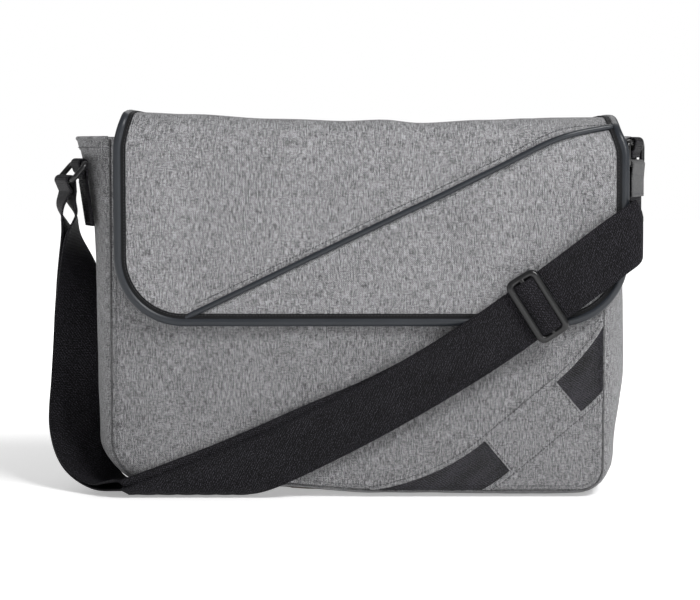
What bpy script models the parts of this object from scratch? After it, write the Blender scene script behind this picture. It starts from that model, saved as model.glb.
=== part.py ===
"""A messenger bag: grey fabric body, folding flap with bound edges, webbing strap with rings and a slider.

Metres, +Z up. The origin is the middle of the flat base, the front faces -Y and +X is to the right.
"""

import math

import bmesh
import bpy
from mathutils import Matrix, Vector

# Body
BODY_WIDTH = 0.357  # from side seam to side seam
BODY_HEIGHT = 0.260  # from the base to the mouth
BODY_DEPTH = 0.100  # between the front and back seams
CORNER_RADIUS = 0.030  # the panels' lower corners
FABRIC = 0.0012
GAP = 0.0003  # between pieces that touch
BELLY = 0.003  # how far the front and back panels swell
SEAM_RISE = 0.004  # the bottom seam above the base
LEFT_BULGE = 0.013  # the gussets swell past the seams
RIGHT_BULGE = 0.018
LEFT_FLARE = 0.014  # and flare at the mouth
RIGHT_FLARE = 0.005
FLARE_START = 0.110  # how far below the mouth the flare starts
BASE_LIFT = 0.0055  # the left end of the base clears the strap that runs under it
LIFT_FROM, LIFT_TO = 0.138, 0.108  # the lift's two ends, from the left seam

# Inside
BOARD_THICKNESS = 0.002
BOARD_SHARE = 0.8  # of the depth
PADDING = 0.003
LINING = 0.0006
POCKET_DEPTH = 0.016  # from the lining's back wall to the pocket panel
POCKET_DROP = 0.045  # the pocket's top edge below the mouth

# Flap
FLAP_WIDTH = BODY_WIDTH + 0.012
FLAP_SHIFT = 0.010  # the flap hangs a little to the right
FLAP_RISE = 0.012  # its outer face above the mouth
FLAP_STANDOFF = 0.0034  # room between the front panel and the flap, with the tapes in it
FLAP_DROP = 0.147  # from its top face to its lower edge
FLAP_CORNER = 0.050
FLAP_ROLL = 0.012  # radius where the flap turns down
FLAP_LINING = 0.0008
LINING_GAP = 0.0008  # between the flap's fabric and its lining, which turn the roll in facets
BINDING_RADIUS = 0.0032
PIPING_RADIUS = 0.0026
PIPING_LEFT_RISE = 0.0115  # where the diagonal starts, above the lower edge
PIPING_LEFT = 0.068  # where the diagonal starts, from the flap's left edge
PIPING_SLOPE = 0.455 * (FLAP_DROP / 0.147) * 0.301 / (FLAP_WIDTH - PIPING_LEFT)  # up to the same place at the right
PIPING_OUT = 0.0014  # its middle stands this far out of the fabric's face
TAPE_LENGTH, TAPE_HEIGHT, TAPE_THICKNESS = 0.080, 0.020, 0.0008
TAPE_APART = 0.180
TAPE_RISE = 0.030  # middle of the tapes above the flap's lower edge

# Strap hardware
WEBBING = 0.0016
STRAP_WIDTH = 0.040
TAB_WIDTH = 0.025
TAB_LENGTH = 0.046
TAB_FOLD = 0.011  # the short leg in front of the long one
LEFT_TAB_TOP, RIGHT_TAB_TOP = 0.019, 0.003  # the tabs' rings below the mouth
TAB_FORWARD = 0.022  # the tabs sit this far in front of the gussets' middle
RING_BAR_RADIUS = 0.002
RING_REACH = 0.016  # between the middles of the ring's two long bars
RING_CLEARANCE = 0.0015  # between the webbing's edge and the ring
LEFT_RING_TILT, RIGHT_RING_TILT = 35.0, 20.0  # degrees out from hanging straight down
SLEEVE_LENGTH = 0.0235
SLIDER_LENGTH = 0.025
SLIDER_BAR = 0.0045
SLIDER_RAIL = 0.003
SLIDER_THICKNESS = 0.0024

HALF_WIDTH = BODY_WIDTH / 2
HALF_DEPTH = BODY_DEPTH / 2
FLAP_LEFT = FLAP_SHIFT - FLAP_WIDTH / 2
FLAP_RIGHT = FLAP_SHIFT + FLAP_WIDTH / 2
FLAP_TOP = BODY_HEIGHT + FLAP_RISE
FLAP_LAYERS = FABRIC + LINING_GAP + FLAP_LINING
FLAP_FRONT = HALF_DEPTH + BELLY + FABRIC + FLAP_STANDOFF + FLAP_LAYERS
FLAP_BACK = HALF_DEPTH + 0.001
FOLD_LENGTH = FLAP_BACK + FLAP_FRONT - FLAP_ROLL  # from the back edge to where the flap turns down
ROLL_LENGTH = FLAP_ROLL * math.pi / 2
FLAP_LENGTH = FOLD_LENGTH + ROLL_LENGTH + FLAP_DROP - FLAP_ROLL
EDGE_INSET = 2 * BINDING_RADIUS + GAP  # the fabric ends at the binding

PARTS = "messenger_bag"


def clear_scene():
    for old in list(bpy.data.objects):
        bpy.data.objects.remove(old, do_unlink=True)
    for name in (PARTS, "cutters"):
        bpy.context.scene.collection.children.link(bpy.data.collections.new(name))


def finish_of(name, colour, roughness, metallic=0.0):
    made = bpy.data.materials.new(name)
    made.use_nodes = True
    shader = made.node_tree.nodes["Principled BSDF"]
    shader.inputs["Base Color"].default_value = (*colour, 1.0)
    shader.inputs["Roughness"].default_value = roughness
    shader.inputs["Metallic"].default_value = metallic
    return made


def add_object(name, data, finish):
    made = bpy.data.objects.new(name, data)
    bpy.data.collections[PARTS].objects.link(made)
    data.materials.append(finish)
    return made


def surface(name, columns, rows, shape, thickness, finish, offset=1.0):
    """A grid whose corner (u, v) goes to shape(u, v), then given a thickness along its normals."""
    grid = bmesh.new()
    bmesh.ops.create_grid(grid, x_segments=columns, y_segments=rows, size=0.5)
    for corner in grid.verts:
        corner.co = shape(corner.co.x + 0.5, corner.co.y + 0.5)
    mesh = bpy.data.meshes.new(name)
    grid.to_mesh(mesh)
    grid.free()
    mesh.shade_smooth()
    made = add_object(name, mesh, finish)
    thick = made.modifiers.new("thickness", "SOLIDIFY")
    thick.thickness = thickness
    thick.offset = offset
    return made


def tube(name, points, radius, finish, closed=False):
    curve = bpy.data.curves.new(name, "CURVE")
    curve.dimensions = "3D"
    curve.bevel_depth = radius
    curve.bevel_resolution = 2
    curve.use_fill_caps = True
    spline = curve.splines.new("POLY")
    spline.points.add(len(points) - 1)
    for point, place in zip(spline.points, points):
        point.co = (*place, 1.0)
    spline.use_cyclic_u = closed
    return add_object(name, curve, finish)


def ribbon(name, centres, edges, width, thickness, finish):
    """Flat webbing along its centres; edges are unit vectors across it."""
    last = len(centres) - 1

    def shape(u, v):
        at = round(v * last)
        return centres[at] + edges[at] * ((u - 0.5) * width)

    return surface(name, 1, last, shape, thickness, finish, offset=0.0)


def smooth(t):
    t = min(1.0, max(0.0, t))
    return t * t * (3 - 2 * t)


def between(start, end, count):
    return [start + (end - start) * i / count for i in range(count + 1)]


# ---- the body's surfaces ----


def seam_half_width(z):
    """Half the panels' width at height z, with their round lower corners."""
    above = z - SEAM_RISE
    if above >= CORNER_RADIUS:
        return HALF_WIDTH
    drop = CORNER_RADIUS - max(0.0, above)
    return HALF_WIDTH - CORNER_RADIUS + math.sqrt(max(0.0, CORNER_RADIUS**2 - drop**2))


def lift(x):
    """How far the base is raised at x, for the strap under its left end."""
    from_seam = x + HALF_WIDTH
    return BASE_LIFT * smooth((LIFT_FROM - from_seam) / (LIFT_FROM - LIFT_TO))


def lifted(x, z):
    fade = 1 - smooth((z - SEAM_RISE) / (CORNER_RADIUS * 2))
    return z + lift(x) * fade


def belly(x, z):
    across = 1 - min(1.0, abs(x) / HALF_WIDTH) ** 2
    return BELLY * across * math.sin(math.pi * min(1.0, max(0.0, z / BODY_HEIGHT)))


def front_point(x, z, out=0.0):
    return Vector((x, -HALF_DEPTH - belly(x, z) - out, lifted(x, z)))


def panel_rows(v, top):
    """Heights that crowd into the round lower corners."""
    corner_share = 0.4
    if v < corner_share:
        turn = math.pi / 2 * v / corner_share
        return SEAM_RISE + CORNER_RADIUS * (1 - math.cos(turn))
    low = SEAM_RISE + CORNER_RADIUS
    return low + (top - low) * (v - corner_share) / (1 - corner_share)


def panel_shape(facing, top):
    """facing is -1 for the front panel and 1 for the back one."""

    def shape(u, v):
        z = panel_rows(v, top)
        half = seam_half_width(z)
        x = (u - 0.5) * 2 * half * -facing
        return Vector((x, facing * (HALF_DEPTH + belly(x, z)), lifted(x, z)))

    return shape


def side_bulge(side, z):
    base, flare = (LEFT_BULGE, LEFT_FLARE) if side < 0 else (RIGHT_BULGE, RIGHT_FLARE)
    up = max(0.0, (z - (BODY_HEIGHT - FLARE_START)) / FLARE_START)
    return base + flare * min(1.0, up) ** 2


def side_point(side, y, z):
    swell = side_bulge(side, z) * (1 - (y / HALF_DEPTH) ** 2)
    return Vector((side * (HALF_WIDTH + swell), y, z))


GUSSET_HALF = HALF_DEPTH - GAP - FABRIC  # their cloth leans outwards at the seams
BASE_FLAT = 0.7  # share of the depth over which the base is flat


def bottom_swell(y):
    return SEAM_RISE * min(1.0, (1 - abs(y) / HALF_DEPTH) / (1 - BASE_FLAT))


def gusset_shape(side):
    """Down the side and round the lower corner, swelling past the seams."""
    corner_share = 0.45

    def shape(u, v):
        y = (u - 0.5) * 2 * GUSSET_HALF * side
        if v >= corner_share:
            z = SEAM_RISE + CORNER_RADIUS
            z += (BODY_HEIGHT - z) * (v - corner_share) / (1 - corner_share)
            return side_point(side, y, z)
        turn = math.pi / 2 * v / corner_share
        swell = side_bulge(side, 0.0) * (1 - (y / HALF_DEPTH) ** 2)
        x = side * (HALF_WIDTH - CORNER_RADIUS + (CORNER_RADIUS + swell) * math.sin(turn) + GAP)
        under = CORNER_RADIUS + bottom_swell(y) - FABRIC
        z = SEAM_RISE + CORNER_RADIUS - under * math.cos(turn)
        return Vector((x, y, lifted(x, z)))

    return shape


def bottom_shape(u, v):
    length = HALF_WIDTH - CORNER_RADIUS - GAP
    x = (u - 0.5) * 2 * length
    steps = (-1.0, -BASE_FLAT, -0.3, 0.3, BASE_FLAT, 1.0)
    y = -GUSSET_HALF * steps[round(v * 5)]
    z = SEAM_RISE - bottom_swell(y) + FABRIC
    return Vector((x, y, z + lift(x)))


def make_body(grey, black, board, foam, cloth):
    surface("front_panel", 14, 12, panel_shape(-1, BODY_HEIGHT - GAP), FABRIC, grey)
    surface("back_panel", 14, 12, panel_shape(1, BODY_HEIGHT), FABRIC, grey)
    surface("left_gusset", 8, 14, gusset_shape(-1), FABRIC, grey)
    surface("right_gusset", 8, 14, gusset_shape(1), FABRIC, grey)
    surface("bottom_gusset", 28, 5, bottom_shape, FABRIC, grey)
    make_accent(grey, black)
    make_inside(board, foam, cloth)


# ---- the band across the front panel's lower right corner ----

BAND_WIDTH = 0.0295
BAND_THICKNESS = 0.0008
BAND_CORNER = (0.077, 0.026)  # the patch's lower end, from the right seam and the bottom seam
BAND_SLOPE = 40.0  # degrees, in its straight middle
BAND_BEND = 0.105  # radius of its ends, which turn up past the patch
PATCH_LENGTH = 0.067


def band_point(along, across, out):
    """along runs up and to the right from the patch's lower end; the ends turn towards the seams."""
    turn = math.radians(BAND_SLOPE)
    middle = PATCH_LENGTH / 2
    past = max(0.0, abs(along - middle) - middle)
    bend = past**2 / (2 * BAND_BEND)
    x = HALF_WIDTH - BAND_CORNER[0] + along * math.cos(turn) - bend * math.sin(turn)
    z = SEAM_RISE + BAND_CORNER[1] + along * math.sin(turn) + bend * math.cos(turn)
    x -= across * math.sin(turn)
    z += across * math.cos(turn)
    return x, z, out


def band_end(across, rising):
    """The furthest along that stays inside the seams, on this line of the band."""
    low, high = 0.0, 0.12
    for _ in range(40):
        mid = (low + high) / 2
        along = PATCH_LENGTH / 2 + mid if rising else PATCH_LENGTH / 2 - mid
        x, z, _out = band_point(along, across, 0.0)
        inside = z > SEAM_RISE + 0.001 and abs(x) < seam_half_width(z) - 0.001
        low, high = (mid, high) if inside else (low, mid)
    return PATCH_LENGTH / 2 + low if rising else PATCH_LENGTH / 2 - low


def make_accent(grey, black):
    def band(u, v):
        across = (v - 0.5) * BAND_WIDTH
        start, end = band_end(across, False), band_end(across, True)
        x, z, out = band_point(start + (end - start) * u, across, FABRIC + GAP)
        return front_point(x, z, out)

    def patch(u, v):
        x, z, out = band_point(PATCH_LENGTH * u, (v - 0.5) * BAND_WIDTH, FABRIC + 2 * GAP + BAND_THICKNESS)
        return front_point(x, z, out)

    surface("accent_band", 16, 3, band, BAND_THICKNESS, black)
    surface("accent_patch", 6, 3, patch, BAND_THICKNESS, grey)


# ---- inside ----


def make_inside(board, foam, cloth):
    board_low = SEAM_RISE
    board_half = HALF_WIDTH - CORNER_RADIUS - 0.006

    def base(u, v):
        x = (u - 0.5) * 2 * board_half
        y = (v - 0.5) * 2 * BOARD_SHARE * HALF_DEPTH
        return Vector((x, y, board_low + lift(x)))

    surface("base_board", 24, 1, base, BOARD_THICKNESS, board)

    def pad(u, v):
        z = BASE_LIFT + SEAM_RISE + CORNER_RADIUS
        z += (BODY_HEIGHT - 0.006 - z) * v
        x = (0.5 - u) * 2 * (HALF_WIDTH - 0.004)
        return Vector((x, HALF_DEPTH + belly(x, z) - GAP, z))

    surface("back_padding", 10, 8, pad, PADDING, foam, offset=-1.0)
    make_lining(board_low + BOARD_THICKNESS + BASE_LIFT + GAP, cloth)

    def pocket(u, v):
        low = SEAM_RISE + CORNER_RADIUS + BASE_LIFT
        z = low + (BODY_HEIGHT - POCKET_DROP - low) * v
        x = (u - 0.5) * 2 * (HALF_WIDTH - 0.004)
        return Vector((x, HALF_DEPTH - PADDING - POCKET_DEPTH, z))

    surface("inner_pocket", 8, 6, pocket, FABRIC, cloth)


def lining_loop(z, columns, rows):
    """Points round the lining at height z, anticlockwise from the front left."""
    inset = 0.0015
    low_inset = 0.004 * (1 - smooth((z - SEAM_RISE - BASE_LIFT) / CORNER_RADIUS))
    half = seam_half_width(max(z - BASE_LIFT, SEAM_RISE + 0.004)) - inset - low_inset
    loop = []
    for x in between(-half, half, columns)[:-1]:
        loop.append(Vector((x, -HALF_DEPTH - belly(x, z) + inset, z)))
    for y in between(-HALF_DEPTH + inset, HALF_DEPTH - PADDING - inset, rows)[:-1]:
        loop.append(Vector((half + side_bulge(1, z) * side_fill(y, z), y, z)))
    for x in between(half, -half, columns)[:-1]:
        loop.append(Vector((x, HALF_DEPTH - PADDING - inset + belly(x, z) * 0.8, z)))
    for y in between(HALF_DEPTH - PADDING - inset, -HALF_DEPTH + inset, rows)[:-1]:
        loop.append(Vector((-half - side_bulge(-1, z) * side_fill(y, z), y, z)))
    return loop


def side_fill(y, z):
    """How much of the gusset's swell the lining takes, less towards the round lower corner."""
    fade = smooth((z - SEAM_RISE - CORNER_RADIUS * 0.6) / (CORNER_RADIUS * 2))
    return fade * 0.95 * (1 - (y / HALF_DEPTH) ** 2)


def make_lining(floor, cloth):
    columns, rows = 10, 6
    heights = [BODY_HEIGHT - 0.002, 0.22, 0.18, 0.13, 0.085, 0.055, 0.038, 0.026, 0.018, floor]
    heights = [heights[0]] + [z * BODY_HEIGHT / 0.260 for z in heights[1:-1]] + [floor]
    loops = [lining_loop(z, columns, rows) for z in heights]
    shell = bmesh.new()
    rings = [[shell.verts.new(point) for point in loop] for loop in loops]
    count = len(rings[0])
    for upper, lower in zip(rings, rings[1:]):
        for i in range(count):
            after = (i + 1) % count
            shell.faces.new((lower[i], lower[after], upper[after], upper[i]))
    middle = shell.verts.new((0.0, 0.0, floor))
    for i in range(count):
        shell.faces.new((rings[-1][(i + 1) % count], rings[-1][i], middle))
    mesh = bpy.data.meshes.new("lining")
    shell.to_mesh(mesh)
    shell.free()
    mesh.shade_smooth()
    made = add_object("lining", mesh, cloth)
    thick = made.modifiers.new("thickness", "SOLIDIFY")
    thick.thickness = LINING
    thick.offset = -1.0


# ---- the flap ----


def flap_point(x, along, out=0.0):
    """A point on the flap, measured along it from its back edge; out is away from the bag."""
    turn_y = FLAP_FRONT - FLAP_ROLL
    if along < FOLD_LENGTH:
        return Vector((x, FLAP_BACK - along, FLAP_TOP + out))
    past = along - FOLD_LENGTH
    if past < ROLL_LENGTH:
        turn = past / FLAP_ROLL
        reach = FLAP_ROLL + out
        z = FLAP_TOP - FLAP_ROLL + reach * math.cos(turn)
        return Vector((x, -turn_y - reach * math.sin(turn), z))
    return Vector((x, -FLAP_FRONT - out, FLAP_TOP - FLAP_ROLL - (past - ROLL_LENGTH)))


def flap_end(x, inset):
    """How far along the flap its lower edge is at x, with round corners."""
    radius = FLAP_CORNER - inset
    from_side = min(x - FLAP_LEFT, FLAP_RIGHT - x) - inset
    end = FLAP_LENGTH - inset
    if from_side < radius:
        across = radius - max(0.0, from_side)
        end -= radius - math.sqrt(max(0.0, radius**2 - across**2))
    return end


def crowded(u, left, right):
    """Across the flap with columns crowded into its round corners."""
    corner = 0.25
    wide = FLAP_CORNER - EDGE_INSET
    if u < corner:
        return left + wide * (1 - math.cos(math.pi / 2 * u / corner))
    if u > 1 - corner:
        return right - wide * (1 - math.cos(math.pi / 2 * (1 - u) / corner))
    return left + wide + (right - left - 2 * wide) * (u - corner) / (1 - 2 * corner)


def piping_height(x):
    """The diagonal's height at x."""
    return FLAP_TOP - FLAP_DROP + PIPING_LEFT_RISE + (x - FLAP_LEFT - PIPING_LEFT) * PIPING_SLOPE


def make_flap(grey, trim, cloth, tape):
    left, right = FLAP_LEFT + EDGE_INSET, FLAP_RIGHT - EDGE_INSET
    half_gap = (PIPING_RADIUS + GAP) * math.hypot(1, PIPING_SLOPE)
    fold = FOLD_LENGTH + GAP

    def top(depth):
        def shape(u, v):
            return flap_point(left + (right - left) * (1 - u), (FOLD_LENGTH - GAP) * v, depth)

        return shape

    def front(depth):
        """The panel from the fold to the lower edge, its first rows crowded into the roll."""
        roll_share = 0.4

        def shape(u, v):
            x = crowded(1 - u, left, right)
            roll_end = FOLD_LENGTH + ROLL_LENGTH
            if v <= roll_share:
                return flap_point(x, fold + (roll_end - fold) * v / roll_share, depth)
            down = (v - roll_share) / (1 - roll_share)
            return flap_point(x, roll_end + (flap_end(x, EDGE_INSET) - roll_end) * down, depth)

        return shape

    surface("flap_top", 6, 4, top(-FABRIC), FABRIC, grey)
    surface("flap_top_lining", 6, 4, top(-FLAP_LAYERS), FLAP_LINING, cloth)
    for name, side in (("upper", 1), ("lower", -1)):
        panel = surface(f"flap_front_{name}", 20, 10, front(-FABRIC), FABRIC, grey)
        keep_side(panel, side, half_gap)
    surface("flap_front_lining", 20, 10, front(-FLAP_LAYERS), FLAP_LINING, cloth)

    core = -FLAP_LAYERS / 2
    inset = BINDING_RADIUS
    for name, x in (("left", FLAP_LEFT + inset), ("right", FLAP_RIGHT - inset)):
        points = [flap_point(x, along, core) for along in (0.0, FOLD_LENGTH - GAP)]
        tube(f"flap_top_binding_{name}", points, BINDING_RADIUS, trim)

    def down_side(x):
        steps = between(fold, FOLD_LENGTH + ROLL_LENGTH, 5)
        return [flap_point(x, along, core) for along in steps]

    route = down_side(FLAP_LEFT + inset)
    radius = FLAP_CORNER - inset
    for step in range(7):
        turn = math.pi / 2 * step / 6
        x = FLAP_LEFT + FLAP_CORNER - radius * math.cos(turn)
        route.append(flap_point(x, FLAP_LENGTH - FLAP_CORNER + radius * math.sin(turn), core))
    for step in range(7):
        turn = math.pi / 2 * (6 - step) / 6
        x = FLAP_RIGHT - FLAP_CORNER + radius * math.cos(turn)
        route.append(flap_point(x, FLAP_LENGTH - FLAP_CORNER + radius * math.sin(turn), core))
    route += list(reversed(down_side(FLAP_RIGHT - inset)))
    tube("flap_binding", route, BINDING_RADIUS, trim)

    start = FLAP_LEFT + PIPING_LEFT
    end = FLAP_RIGHT - EDGE_INSET - PIPING_RADIUS - GAP
    diagonal = [piping_point(x) for x in between(start, end, 24)]
    tube("diagonal_piping", diagonal, PIPING_RADIUS, trim)
    make_tapes(tape)


def piping_point(x):
    """The diagonal is straight seen from the front, also where the flap turns."""
    z = piping_height(x)
    rise = z - (FLAP_TOP - FLAP_ROLL)
    if rise <= 0:
        return Vector((x, -FLAP_FRONT - PIPING_OUT, z))
    turn = math.pi / 2 - math.asin(min(1.0, rise / FLAP_ROLL))
    along = max(FOLD_LENGTH + PIPING_RADIUS, FOLD_LENGTH + turn * FLAP_ROLL)
    return flap_point(x, along, PIPING_OUT)


def keep_side(panel, side, half_gap):
    """Cuts the panel along the diagonal; side 1 keeps what is above it."""
    far = 0.25
    left, right = FLAP_LEFT - far, FLAP_RIGHT + far
    edge = [(x, piping_height(x) - side * -half_gap) for x in (left, right)]
    outline = edge + [(right, edge[1][1] - side * 2 * far), (left, edge[0][1] - side * 2 * far)]
    if side > 0:
        outline.reverse()
    wedge = bmesh.new()
    front, back = (
        [wedge.verts.new((x, y, z)) for x, z in outline] for y in (-FLAP_FRONT - 0.02, -FLAP_FRONT + FLAP_ROLL + 0.006)
    )
    wedge.faces.new(front)
    wedge.faces.new(list(reversed(back)))
    for i in range(4):
        after = (i + 1) % 4
        wedge.faces.new((front[after], front[i], back[i], back[after]))
    bmesh.ops.recalc_face_normals(wedge, faces=wedge.faces)
    mesh = bpy.data.meshes.new(f"{panel.name}_cutter")
    wedge.to_mesh(mesh)
    wedge.free()
    cutter = bpy.data.objects.new(mesh.name, mesh)
    bpy.data.collections["cutters"].objects.link(cutter)
    cutter.hide_render = True
    cutter.display_type = "WIRE"
    cut = panel.modifiers.new("cut along the diagonal", "BOOLEAN")
    cut.operation = "DIFFERENCE"
    cut.object = cutter


def make_tapes(tape):
    for name, middle in (("left", -TAPE_APART / 2), ("right", TAPE_APART / 2)):

        def hook(u, v, middle=middle):
            along = FLAP_LENGTH - TAPE_RISE + (0.5 - v) * TAPE_HEIGHT
            x = middle + (0.5 - u) * -TAPE_LENGTH
            return flap_point(x, along, -FLAP_LAYERS - GAP - TAPE_THICKNESS)

        def loop(u, v, middle=middle):
            z = FLAP_TOP - FLAP_DROP + TAPE_RISE + (v - 0.5) * TAPE_HEIGHT
            return front_point(middle + (u - 0.5) * TAPE_LENGTH, z, FABRIC + GAP)

        surface(f"hook_tape_{name}", 4, 1, hook, TAPE_THICKNESS, tape)
        surface(f"loop_tape_{name}", 4, 2, loop, TAPE_THICKNESS, tape)


# ---- tabs and rings ----

TAB_STANDOFF = 0.0036  # the ring's bar from the gusset, so that the tab passes behind it


class Anchor:
    """A tab's place on a gusset: across runs along the ring's bar, up the gusset, out away from it."""

    def __init__(self, side, below_mouth, tilt):
        z = BODY_HEIGHT - below_mouth
        here = side_point(side, -TAB_FORWARD, z)
        step = 0.004
        self.across = (side_point(side, -TAB_FORWARD + step, z) - here).normalized()
        up = side_point(side, -TAB_FORWARD, z) - side_point(side, -TAB_FORWARD, z - 4 * step)
        self.out = self.across.cross(up).normalized() * side
        self.up = self.out.cross(self.across).normalized() * side
        self.side = side
        self.bar = here + self.out * (FABRIC + TAB_STANDOFF + WEBBING)
        swing = math.radians(tilt)
        self.hang = (self.out * math.sin(swing) - self.up * math.cos(swing)).normalized()
        self.hang_out = (self.out * math.cos(swing) + self.up * math.sin(swing)).normalized()
        self.outer_bar = self.bar + self.hang * RING_REACH


def hairpin(bar, down, out, thickness, legs, spread):
    """The middle line of webbing that goes up, over a bar and down again: out side first."""
    radius = RING_BAR_RADIUS + GAP + thickness / 2
    outer, inner = legs
    points = [bar + down * outer + out * spread, bar + down * 0.005 + out * (spread + radius) / 2]
    for step in range(9):
        turn = math.pi * step / 8
        points.append(bar + out * radius * math.cos(turn) - down * radius * math.sin(turn))
    points += [bar + down * 0.006 - out * (spread + radius) / 2, bar + down * inner - out * spread]
    return points


def make_tab(name, anchor, black):
    legs = (TAB_FOLD, TAB_LENGTH)
    spread = WEBBING / 2 + GAP / 2
    line = hairpin(anchor.bar, -anchor.up, anchor.out, WEBBING, legs, spread)
    ribbon(name, line, [anchor.across] * len(line), TAB_WIDTH, WEBBING, black)


def make_ring(name, anchor, dark):
    half = STRAP_WIDTH / 2 + RING_CLEARANCE + RING_BAR_RADIUS
    corner = 0.004
    route = []
    middles = (
        (half - corner, RING_REACH - corner, 0),
        (-half + corner, RING_REACH - corner, 90),
        (-half + corner, corner, 180),
        (half - corner, corner, 270),
    )
    for across, along, start in middles:
        for step in range(4):
            turn = math.radians(start + 30 * step)
            place = anchor.across * (across + corner * math.cos(turn))
            place += anchor.hang * (along + corner * math.sin(turn))
            route.append(anchor.bar + place)
    tube(name, route, RING_BAR_RADIUS, dark, closed=True)


# ---- the strap ----

STRAP_SIDE_X = 0.0255  # the strap's middle line beside the right gusset, from the right seam
STRAP_FRONT = HALF_DEPTH + 0.0165  # and in front of the flap, from the bag's middle
STRAP_LOW_FRONT = HALF_DEPTH + 0.0080  # and where it turns under the bag
SIDE_TURN = 0.008
UNDER_TURN = 0.010
STRAP_FLOOR = 0.0016  # the middle of the lowest layer above the floor
LAYER_PITCH = 0.0021  # between the two layers' middles
# The body that the routes below were laid round by hand. They are fitted to any other body.
LAID_HALF_WIDTH = 0.1785
LAID_HEIGHT = 0.260
LAID_HALF_DEPTH = 0.050
LAID_STRAP = 0.040  # the strap's width on that body
LAID_FLAT = 0.0116  # below this the strap turns under the base, and its route keeps its length
LAID_LOW, LAID_TOP = 0.037, 0.0633  # the left side's lowest bend, and the ring's drop below the mouth
# Where the strap lies on the front, in x and z, from the slider outwards.
UPPER_ROUTE = ((0.1285, 0.1398), (0.1570, 0.1610), (0.1850, 0.1822), (0.2090, 0.1990))
LOWER_ROUTE = (
    (0.1285, 0.1398),
    (0.1000, 0.1195),
    (0.0750, 0.1030),
    (0.0415, 0.0824),
    (0.0020, 0.0598),
    (-0.0410, 0.0377),
    (-0.0770, 0.0214),
    (-0.1080, 0.0088),
    (-0.1360, -0.0020),
    (-0.1620, -0.0115),
)
# Then up the left side: the middle line's x, y, z, and the direction of its front edge.
LEFT_ROUTE = (
    ((-0.1870, -0.0240, 0.0036), (-0.50, -0.86, -0.05)),
    ((-0.2040, -0.0060, 0.0160), (-0.72, -0.62, -0.30)),
    ((-0.2160, 0.0120, 0.0370), (-0.93, -0.32, -0.16)),
    ((-0.2140, 0.0260, 0.0720), (-1.00, -0.06, -0.03)),
    ((-0.2140, 0.0300, 0.1100), (-1.00, 0.00, 0.00)),
    ((-0.2145, 0.0260, 0.1450), (-0.96, -0.25, 0.00)),
    ((-0.2165, 0.0120, 0.1780), (-0.78, -0.62, 0.00)),
)


def fitted_x(x):
    """Stretched with the body up to the side seam, and moved with the seam beyond it."""
    within = min(abs(x), LAID_HALF_WIDTH) * HALF_WIDTH / LAID_HALF_WIDTH
    return math.copysign(within + max(0.0, abs(x) - LAID_HALF_WIDTH), x)


def fitted_route(route):
    stretch = (BODY_HEIGHT - LAID_FLAT) / (LAID_HEIGHT - LAID_FLAT)
    return [(fitted_x(x), min(z, LAID_FLAT) + max(0.0, z - LAID_FLAT) * stretch) for x, z in route]


def fitted_left():
    stretch = (BODY_HEIGHT - LAID_TOP - LAID_LOW) / (LAID_HEIGHT - LAID_TOP - LAID_LOW)
    stops = []
    for number, ((x, y, z), side) in enumerate(LEFT_ROUTE):
        forward = (HALF_DEPTH - LAID_HALF_DEPTH) * max(0.0, 1 - number / 3)
        up = min(z, LAID_LOW) + max(0.0, z - LAID_LOW) * stretch
        outward = abs(side[0]) * (STRAP_WIDTH - LAID_STRAP) * 0.65
        stops.append((Vector((fitted_x(x) - outward, y - forward, up)), Vector(side).normalized()))
    return stops


def curve_through(points, per_span):
    """A smooth curve through the points, with per_span steps between each two."""
    points = [Vector(p) for p in points]
    padded = [points[0] * 2 - points[1]] + points + [points[-1] * 2 - points[-2]]
    made = []
    for a, b, c, d in zip(padded, padded[1:], padded[2:], padded[3:]):
        for step in range(per_span):
            t = step / per_span
            made.append(
                0.5 * ((2 * b) + (c - a) * t + (2 * a - 5 * b + 4 * c - d) * t**2 + (3 * b - a - 3 * c + d) * t**3)
            )
    made.append(points[-1])
    return made


def wrapped(across, z, front, inner):
    """A point of the flat strap, turned round the right edge and under the base; inner is towards the bag."""
    side_x = HALF_WIDTH + STRAP_SIDE_X
    turn_x = side_x - SIDE_TURN
    turn_z = STRAP_FLOOR + UNDER_TURN
    if across > turn_x:
        turn = min((across - turn_x) / SIDE_TURN, math.pi / 2)
        past = max(0.0, across - turn_x - SIDE_TURN * math.pi / 2)
        reach = SIDE_TURN - inner
        x = turn_x + reach * math.sin(turn)
        return Vector((x, -front + SIDE_TURN - reach * math.cos(turn) + past, z))
    if z < turn_z:
        turn = min((turn_z - z) / UNDER_TURN, math.pi / 2)
        past = max(0.0, turn_z - z - UNDER_TURN * math.pi / 2)
        reach = UNDER_TURN - inner
        return Vector((across, -front + UNDER_TURN - reach * math.cos(turn) + past, turn_z - reach * math.sin(turn)))
    return Vector((across, -front + inner, z))


def standoff(z):
    """The strap comes in towards the bag below the flap."""
    low, high = BODY_HEIGHT * 0.08, FLAP_TOP - FLAP_DROP - 0.012
    return STRAP_LOW_FRONT + (STRAP_FRONT - STRAP_LOW_FRONT) * smooth((z - low) / (high - low))


def flat_rows(route, per_span):
    """Rows across the strap on the front, each a list of flat points and the row's standoff."""
    line = curve_through([(x, z, 0.0) for x, z in route], per_span)
    rows = []
    for at, here in enumerate(line):
        ahead = line[min(at + 1, len(line) - 1)] - line[max(at - 1, 0)]
        ahead.normalize()
        rows.append((here, Vector((-ahead.y, ahead.x, 0.0))))
    return rows


def front_rows(route, inner, per_span=4, flip=1.0):
    rows = []
    for here, side in flat_rows(route, per_span):
        row = []
        for share in (-1.0, -0.5, 0.0, 0.5, 1.0):
            place = here + side * (flip * share * STRAP_WIDTH / 2)
            row.append(wrapped(place.x, place.y, standoff(here.y), inner))
        rows.append(row)
    return rows


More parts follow.
